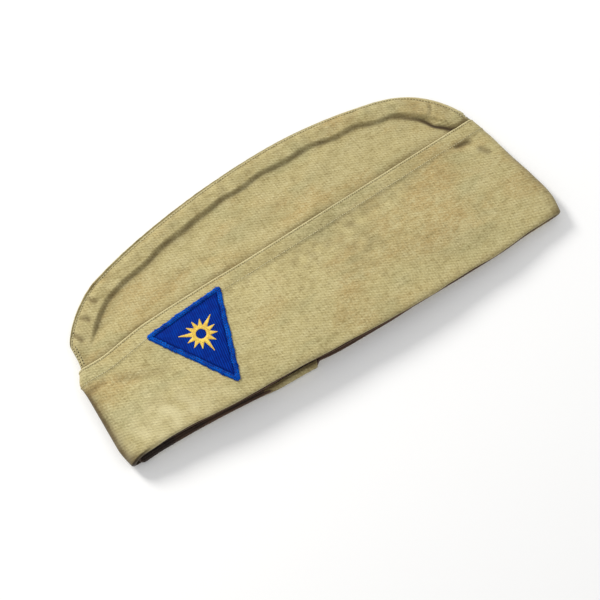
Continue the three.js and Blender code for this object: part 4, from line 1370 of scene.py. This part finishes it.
def badgePlace(across, down):
    turn = math.radians(badgeShape["turn"])
    across = across + badgeShape["skew"] * down / badgeShape["drop"]
    x = across * math.cos(turn) + down * math.sin(turn) + badgeShape["along"]
    return x, across * math.sin(turn) - down * math.cos(turn) + badgeShape["up"]


def badgeSeat(x, y):  # face of the curtain under the badge
    down = curtainTop(x) - y
    plain = capShape["hem"] * smooth(down, *curtainFolds["hemEnd"])
    return leftFace(x, y) + wrap - plain + curtainRelief(x, y, down) + 0.04


def badgePoint(across, down, rise):
    x, y = badgePlace(np.asarray(across, float), np.asarray(down, float))
    return np.stack([x, y, badgeSeat(x, y) + rise], -1)


def badgeCorners(margin):
    half = math.atan2(badgeShape["width"] / 2, badgeShape["drop"])
    across = badgeShape["width"] / 2 - margin / math.tan((math.pi / 2 - half) / 2)
    return [(-across, margin), (across, margin), (0, badgeShape["drop"] - margin / math.sin(half))]


def badgeGround(shape):
    margin = shape["borderWidth"] - shape["overlap"]
    corners = badgeCorners(margin)
    v = np.linspace(0, 1, 110)
    u = np.linspace(-1, 1, 120)
    down = mix(corners[0][1], corners[2][1], v)[None] + 0 * u[:, None]
    across = u[:, None] * corners[1][0] * (1 - v * 0.995)[None]
    turn = math.radians(shape["ribTurn"])
    acrossRibs = (across * math.sin(turn) + down * math.cos(turn)) / shape["ribPitch"]
    ribs = np.sin(2 * math.pi * acrossRibs + 0.5 * ripple(across, down, 9, 31))
    fromEdge = np.minimum(down - margin, (1 - np.abs(u))[:, None] * corners[1][0] * (1 - v)[None] * 0.9)
    rise = shape["cloth"] + shape["ribHeight"] * ribs - 0.3 * bump(fromEdge - shape["sewnInset"], 0.6)
    low = np.full(rise.shape, 0.02)
    edge = np.minimum(np.minimum(v, 1 - v)[None] * 60, (1 - np.abs(u))[:, None] * 60)
    ease = roundOver(edge, 0.6)
    middle = (rise + low) / 2
    outer = badgePoint(across, down, middle + (rise - middle) * ease)
    inner = badgePoint(across, down, middle - (middle - low) * ease)
    # painted shade in the ribs' valleys and along the sewn furrow
    valleyShade = np.clip(-ribs, 0, 1) ** 1.3 + bump(fromEdge - shape["sewnInset"], 0.7) * 0.9
    return clothSheet(outer, inner, np.stack([across, -down], -1), {"wearHighlightAndShade": np.clip(valleyShade, 0, 1)})


def badgeLoop(margin, radius, count):  # rounded three-cornered line: across, down and the way out
    corners = [np.array(c) for c in badgeCorners(margin + radius)]
    line = []
    for k, corner in enumerate(corners):
        before, after = corners[k - 1], corners[(k + 1) % 3]
        sidesOf = ((before, corner), (corner, after))
        ways = [np.array((b[1] - a[1], a[0] - b[0])) / np.linalg.norm(b - a) for a, b in sidesOf]
        full = math.acos(float(np.clip(ways[0].dot(ways[1]), -1, 1)))
        for t in np.linspace(0, full, 14):
            (a, b), c, s = ways[0], math.cos(t), math.sin(t)
            way = np.array((a * c - b * s, a * s + b * c))
            line.append(corner + way * radius)
        line += [corner + (after - corner) * t + ways[1] * radius for t in np.linspace(0, 1, 40)[1:-1]]
    line = np.array([*line, line[0]])
    points = alongLine(line, np.linspace(0, runOf(line)[-1], count + 1))[:-1]
    tangent = unit(np.roll(points, -1, 0) - np.roll(points, 1, 0))
    out = np.stack([tangent[:, 1], -tangent[:, 0]], 1)
    middle = points.mean(0)
    out = out * np.sign(((points - middle) * out).sum(1).mean())
    return points, tangent, out


def borderCore(shape):
    points, _, out = badgeLoop(shape["borderWidth"] / 2, shape["corner"] + shape["borderWidth"] / 2, 360)
    angles = np.linspace(0, math.pi, 13)
    half = shape["borderWidth"] / 2 * shape["coreShare"][0]
    high = shape["borderHeight"] * shape["coreShare"][1]
    plan = points[:, None] + out[:, None] * (half * np.cos(angles))[None, :, None]
    top = badgePoint(plan[..., 0], plan[..., 1], (high * np.sin(angles))[None] + 0 * plan[..., 0])
    base = badgePoint(plan[..., 0], plan[..., 1], 0 * plan[..., 0])
    return clothSheet(top, base, np.concatenate([plan, plan[:1]]), closed=True)


def strandModel(shape):  # one turn of thread over the border, lying across it
    nothingSelected()
    bpy.ops.mesh.primitive_uv_sphere_add(segments=7, ring_count=10, radius=1)
    model = bpy.context.object
    half, high = shape["borderWidth"] / 2, shape["borderHeight"]
    for vertex in model.data.vertices:
        x, y, z = vertex.co
        angle = math.acos(max(-1, min(1, z)))
        fullness = math.sqrt(max(0.0, 1 - z * z)) ** 0.35 if abs(z) < 0.9999 else 0.0
        turn = mix(-0.2, math.pi + 0.2, angle / math.pi)
        spin = math.atan2(y, x)
        reach = shape["strandThick"] * math.sin(spin) * fullness
        along = shape["strandHalf"] * math.cos(spin) * fullness + shape["strandLean"] * (angle / math.pi - 0.5)
        rise = high * (0.82 - shape["strandDip"] * math.exp(-(((turn - 1.75) / 0.28) ** 2)))
        place = (along, math.cos(turn) * (half * 0.9 + reach), math.sin(turn) * (rise + reach))
        vertex.co = [n / 1000 for n in place]
    return model


def borderStrands(shape):
    points, tangent, out = badgeLoop(shape["borderWidth"] / 2, 0.65, 3000)
    outerRun = runOf(points + out * shape["borderWidth"] * 0.42)  # evenly spaced where they turn over the edge
    at = np.arange(0, outerRun[-1], outerRun[-1] / round(outerRun[-1] / shape["strandPitch"]))
    pick = np.searchsorted(outerRun, at + 0.01)
    points, tangent, out = points[pick], tangent[pick], out[pick]
    wander = ripple(points[:, 0], points[:, 1], 7, 34)
    points = points + out * (shape["strandWander"] * wander)[:, None]
    dice = np.random.RandomState(33)
    places = []
    seats = badgePoint(points[:, 0], points[:, 1], 0)
    forward, outward = points + tangent * 0.4, points + out * 0.4
    aheads = badgePoint(forward[:, 0], forward[:, 1], 0) - seats
    besides = badgePoint(outward[:, 0], outward[:, 1], 0) - seats
    for here, ahead, beside in zip(seats, aheads, besides):
        up = np.cross(ahead, beside)
        up = up * np.sign(up[2])
        grow = dice.uniform(0.86, 1.16, 3)
        matrix = placeAt(here, ahead, up, grow)
        if np.cross(up, ahead).dot(beside) < 0:
            matrix = matrix @ Matrix.Diagonal((1, -1, 1, 1))
        places.append(matrix @ Matrix.Rotation(dice.uniform(-0.09, 0.09), 4, "Z"))
    return places


finishPiece(badgeGround(badgeShape), "badgeGround", ["badge_cloth"], groundFinish)
finishPiece(borderCore(badgeShape), "badgeBorderCore", ["badge_border"], borderFinish)
strands = copiesOf(strandModel(badgeShape), borderStrands(badgeShape))
inEditMode(mendNormals)
finishPiece(strands, "badgeBorderStrands", [], borderFinish)


def emblemStrands(shape):
    dice = np.random.RandomState(35)
    laid = []

    def lay(across, up, angle, length):
        laid.append((across, shape["emblemDown"] - up, angle, length * dice.uniform(0.96, 1.05)))

    middle, wide = (shape["hole"] + shape["ring"]) / 2, shape["ring"] - shape["hole"] + 0.35
    for angle in np.arange(shape["ringTurns"]) * 2 * math.pi / shape["ringTurns"]:
        lay(middle * math.cos(angle), middle * math.sin(angle), angle + 0.12, wide)
    for k in range(shape["rays"]):
        angle = 2 * math.pi * k / shape["rays"] - math.pi / 2
        tip = shape["longRay"] if k % 4 == 0 else shape["ray"]
        start = shape["ring"] - 0.3
        for r in np.arange(start, tip - 0.15, shape["threadPitch"]):
            wide = shape["rayWidth"] * (1 - (r - start) / (tip - start)) + 0.35
            lay(r * math.cos(angle), r * math.sin(angle), angle + math.pi / 2 + 0.15, wide)
    across, down, angle, length = np.array(laid).T
    rise = shape["cloth"] + 0.1
    here = badgePoint(across, down, rise)
    ahead = badgePoint(across + 0.3 * np.cos(angle), down - 0.3 * np.sin(angle), rise) - here
    beside = badgePoint(across - 0.3 * np.sin(angle), down - 0.3 * np.cos(angle), rise) - here
    up = np.cross(ahead, beside)
    up = up * np.sign(up[:, 2:])
    sizes = [(size, shape["threadWidth"], shape["threadHeight"]) for size in length]
    return [placeAt(*row) for row in zip(here, ahead, up, sizes)]


finishPiece(
    copiesOf(threadModel(6), emblemStrands(badgeShape)), "badgeEmblem", ["badge_emblem"],
    emblemFinish,
)
sewLook = {**stitchLook, "pitch": 1.6, "length": 1.15, "width": 0.5, "height": 0.4}
points, _, _ = badgeLoop(badgeShape["sewnAt"], badgeShape["sewnCorner"], 400)
line = badgePoint(points[:, 0], points[:, 1], badgeShape["sewnHeight"])
finishPiece(
    copiesOf(threadModel(), stitchPlaces(line, np.tile([0.0, 0.0, 1.0], (len(line), 1)), sewLook, 37)),
    "badgeSewing", [], badgeSewing,
)
print("badge made")


def lookAt(place, target):
    return (Vector(target) - Vector(place)).to_track_quat("-Z", "Y").to_euler()


view = {"place": (-0.11266, -0.18667, 0.57863), "target": (-0.01596, -0.02847, 0.008), "lens": 61.39}
camera = bpy.data.cameras.new("photoCamera")
camera.lens = view["lens"]
camera.sensor_width = 36
cameraObject = bpy.data.objects.new("photoCamera", camera)
bpy.context.scene.collection.objects.link(cameraObject)
cameraObject.location = view["place"]
cameraObject.rotation_euler = lookAt(view["place"], view["target"])
bpy.context.scene.camera = cameraObject

studio = {"worldStrength": 0.66, "keyPower": 11.0, "fillPower": 1.0, "floor": paint(250, 250, 250)}


def areaLight(name, place, size, power, tint):  # a round lamp that points at the cap
    light = bpy.data.lights.new(name, "AREA")
    light.shape = "DISK"
    light.size = size
    light.energy = power
    light.color = tint
    made = bpy.data.objects.new(name, light)
    bpy.context.scene.collection.objects.link(made)
    made.location = place
    made.rotation_euler = lookAt(place, (0, 0, 0))


areaLight("keyLight", (-0.35, 0.9, 0.62), 0.36, studio["keyPower"], (1.0, 0.985, 0.95))
areaLight("fillLight", (0.7, -0.4, 0.9), 0.9, studio["fillPower"], (0.95, 0.97, 1.0))
world = bpy.data.worlds.new("paleRoom")
world.use_nodes = True
background = world.node_tree.nodes["Background"]
background.inputs["Color"].default_value = (1, 1, 1, 1)
background.inputs["Strength"].default_value = studio["worldStrength"]
bpy.context.scene.world = world
bpy.context.scene.view_settings.view_transform = "Standard"

nothingSelected()
bpy.ops.mesh.primitive_plane_add(size=6, location=(0, 0, -0.0004))
floor = bpy.context.object
floor.name = "paleFloor"
floorFinish, _, floorShader, _ = startMaterial("paleFloor", 0.9)
floorShader.inputs["Base Color"].default_value = studio["floor"]
floor.data.materials.append(floorFinish)
print("camera and light set")
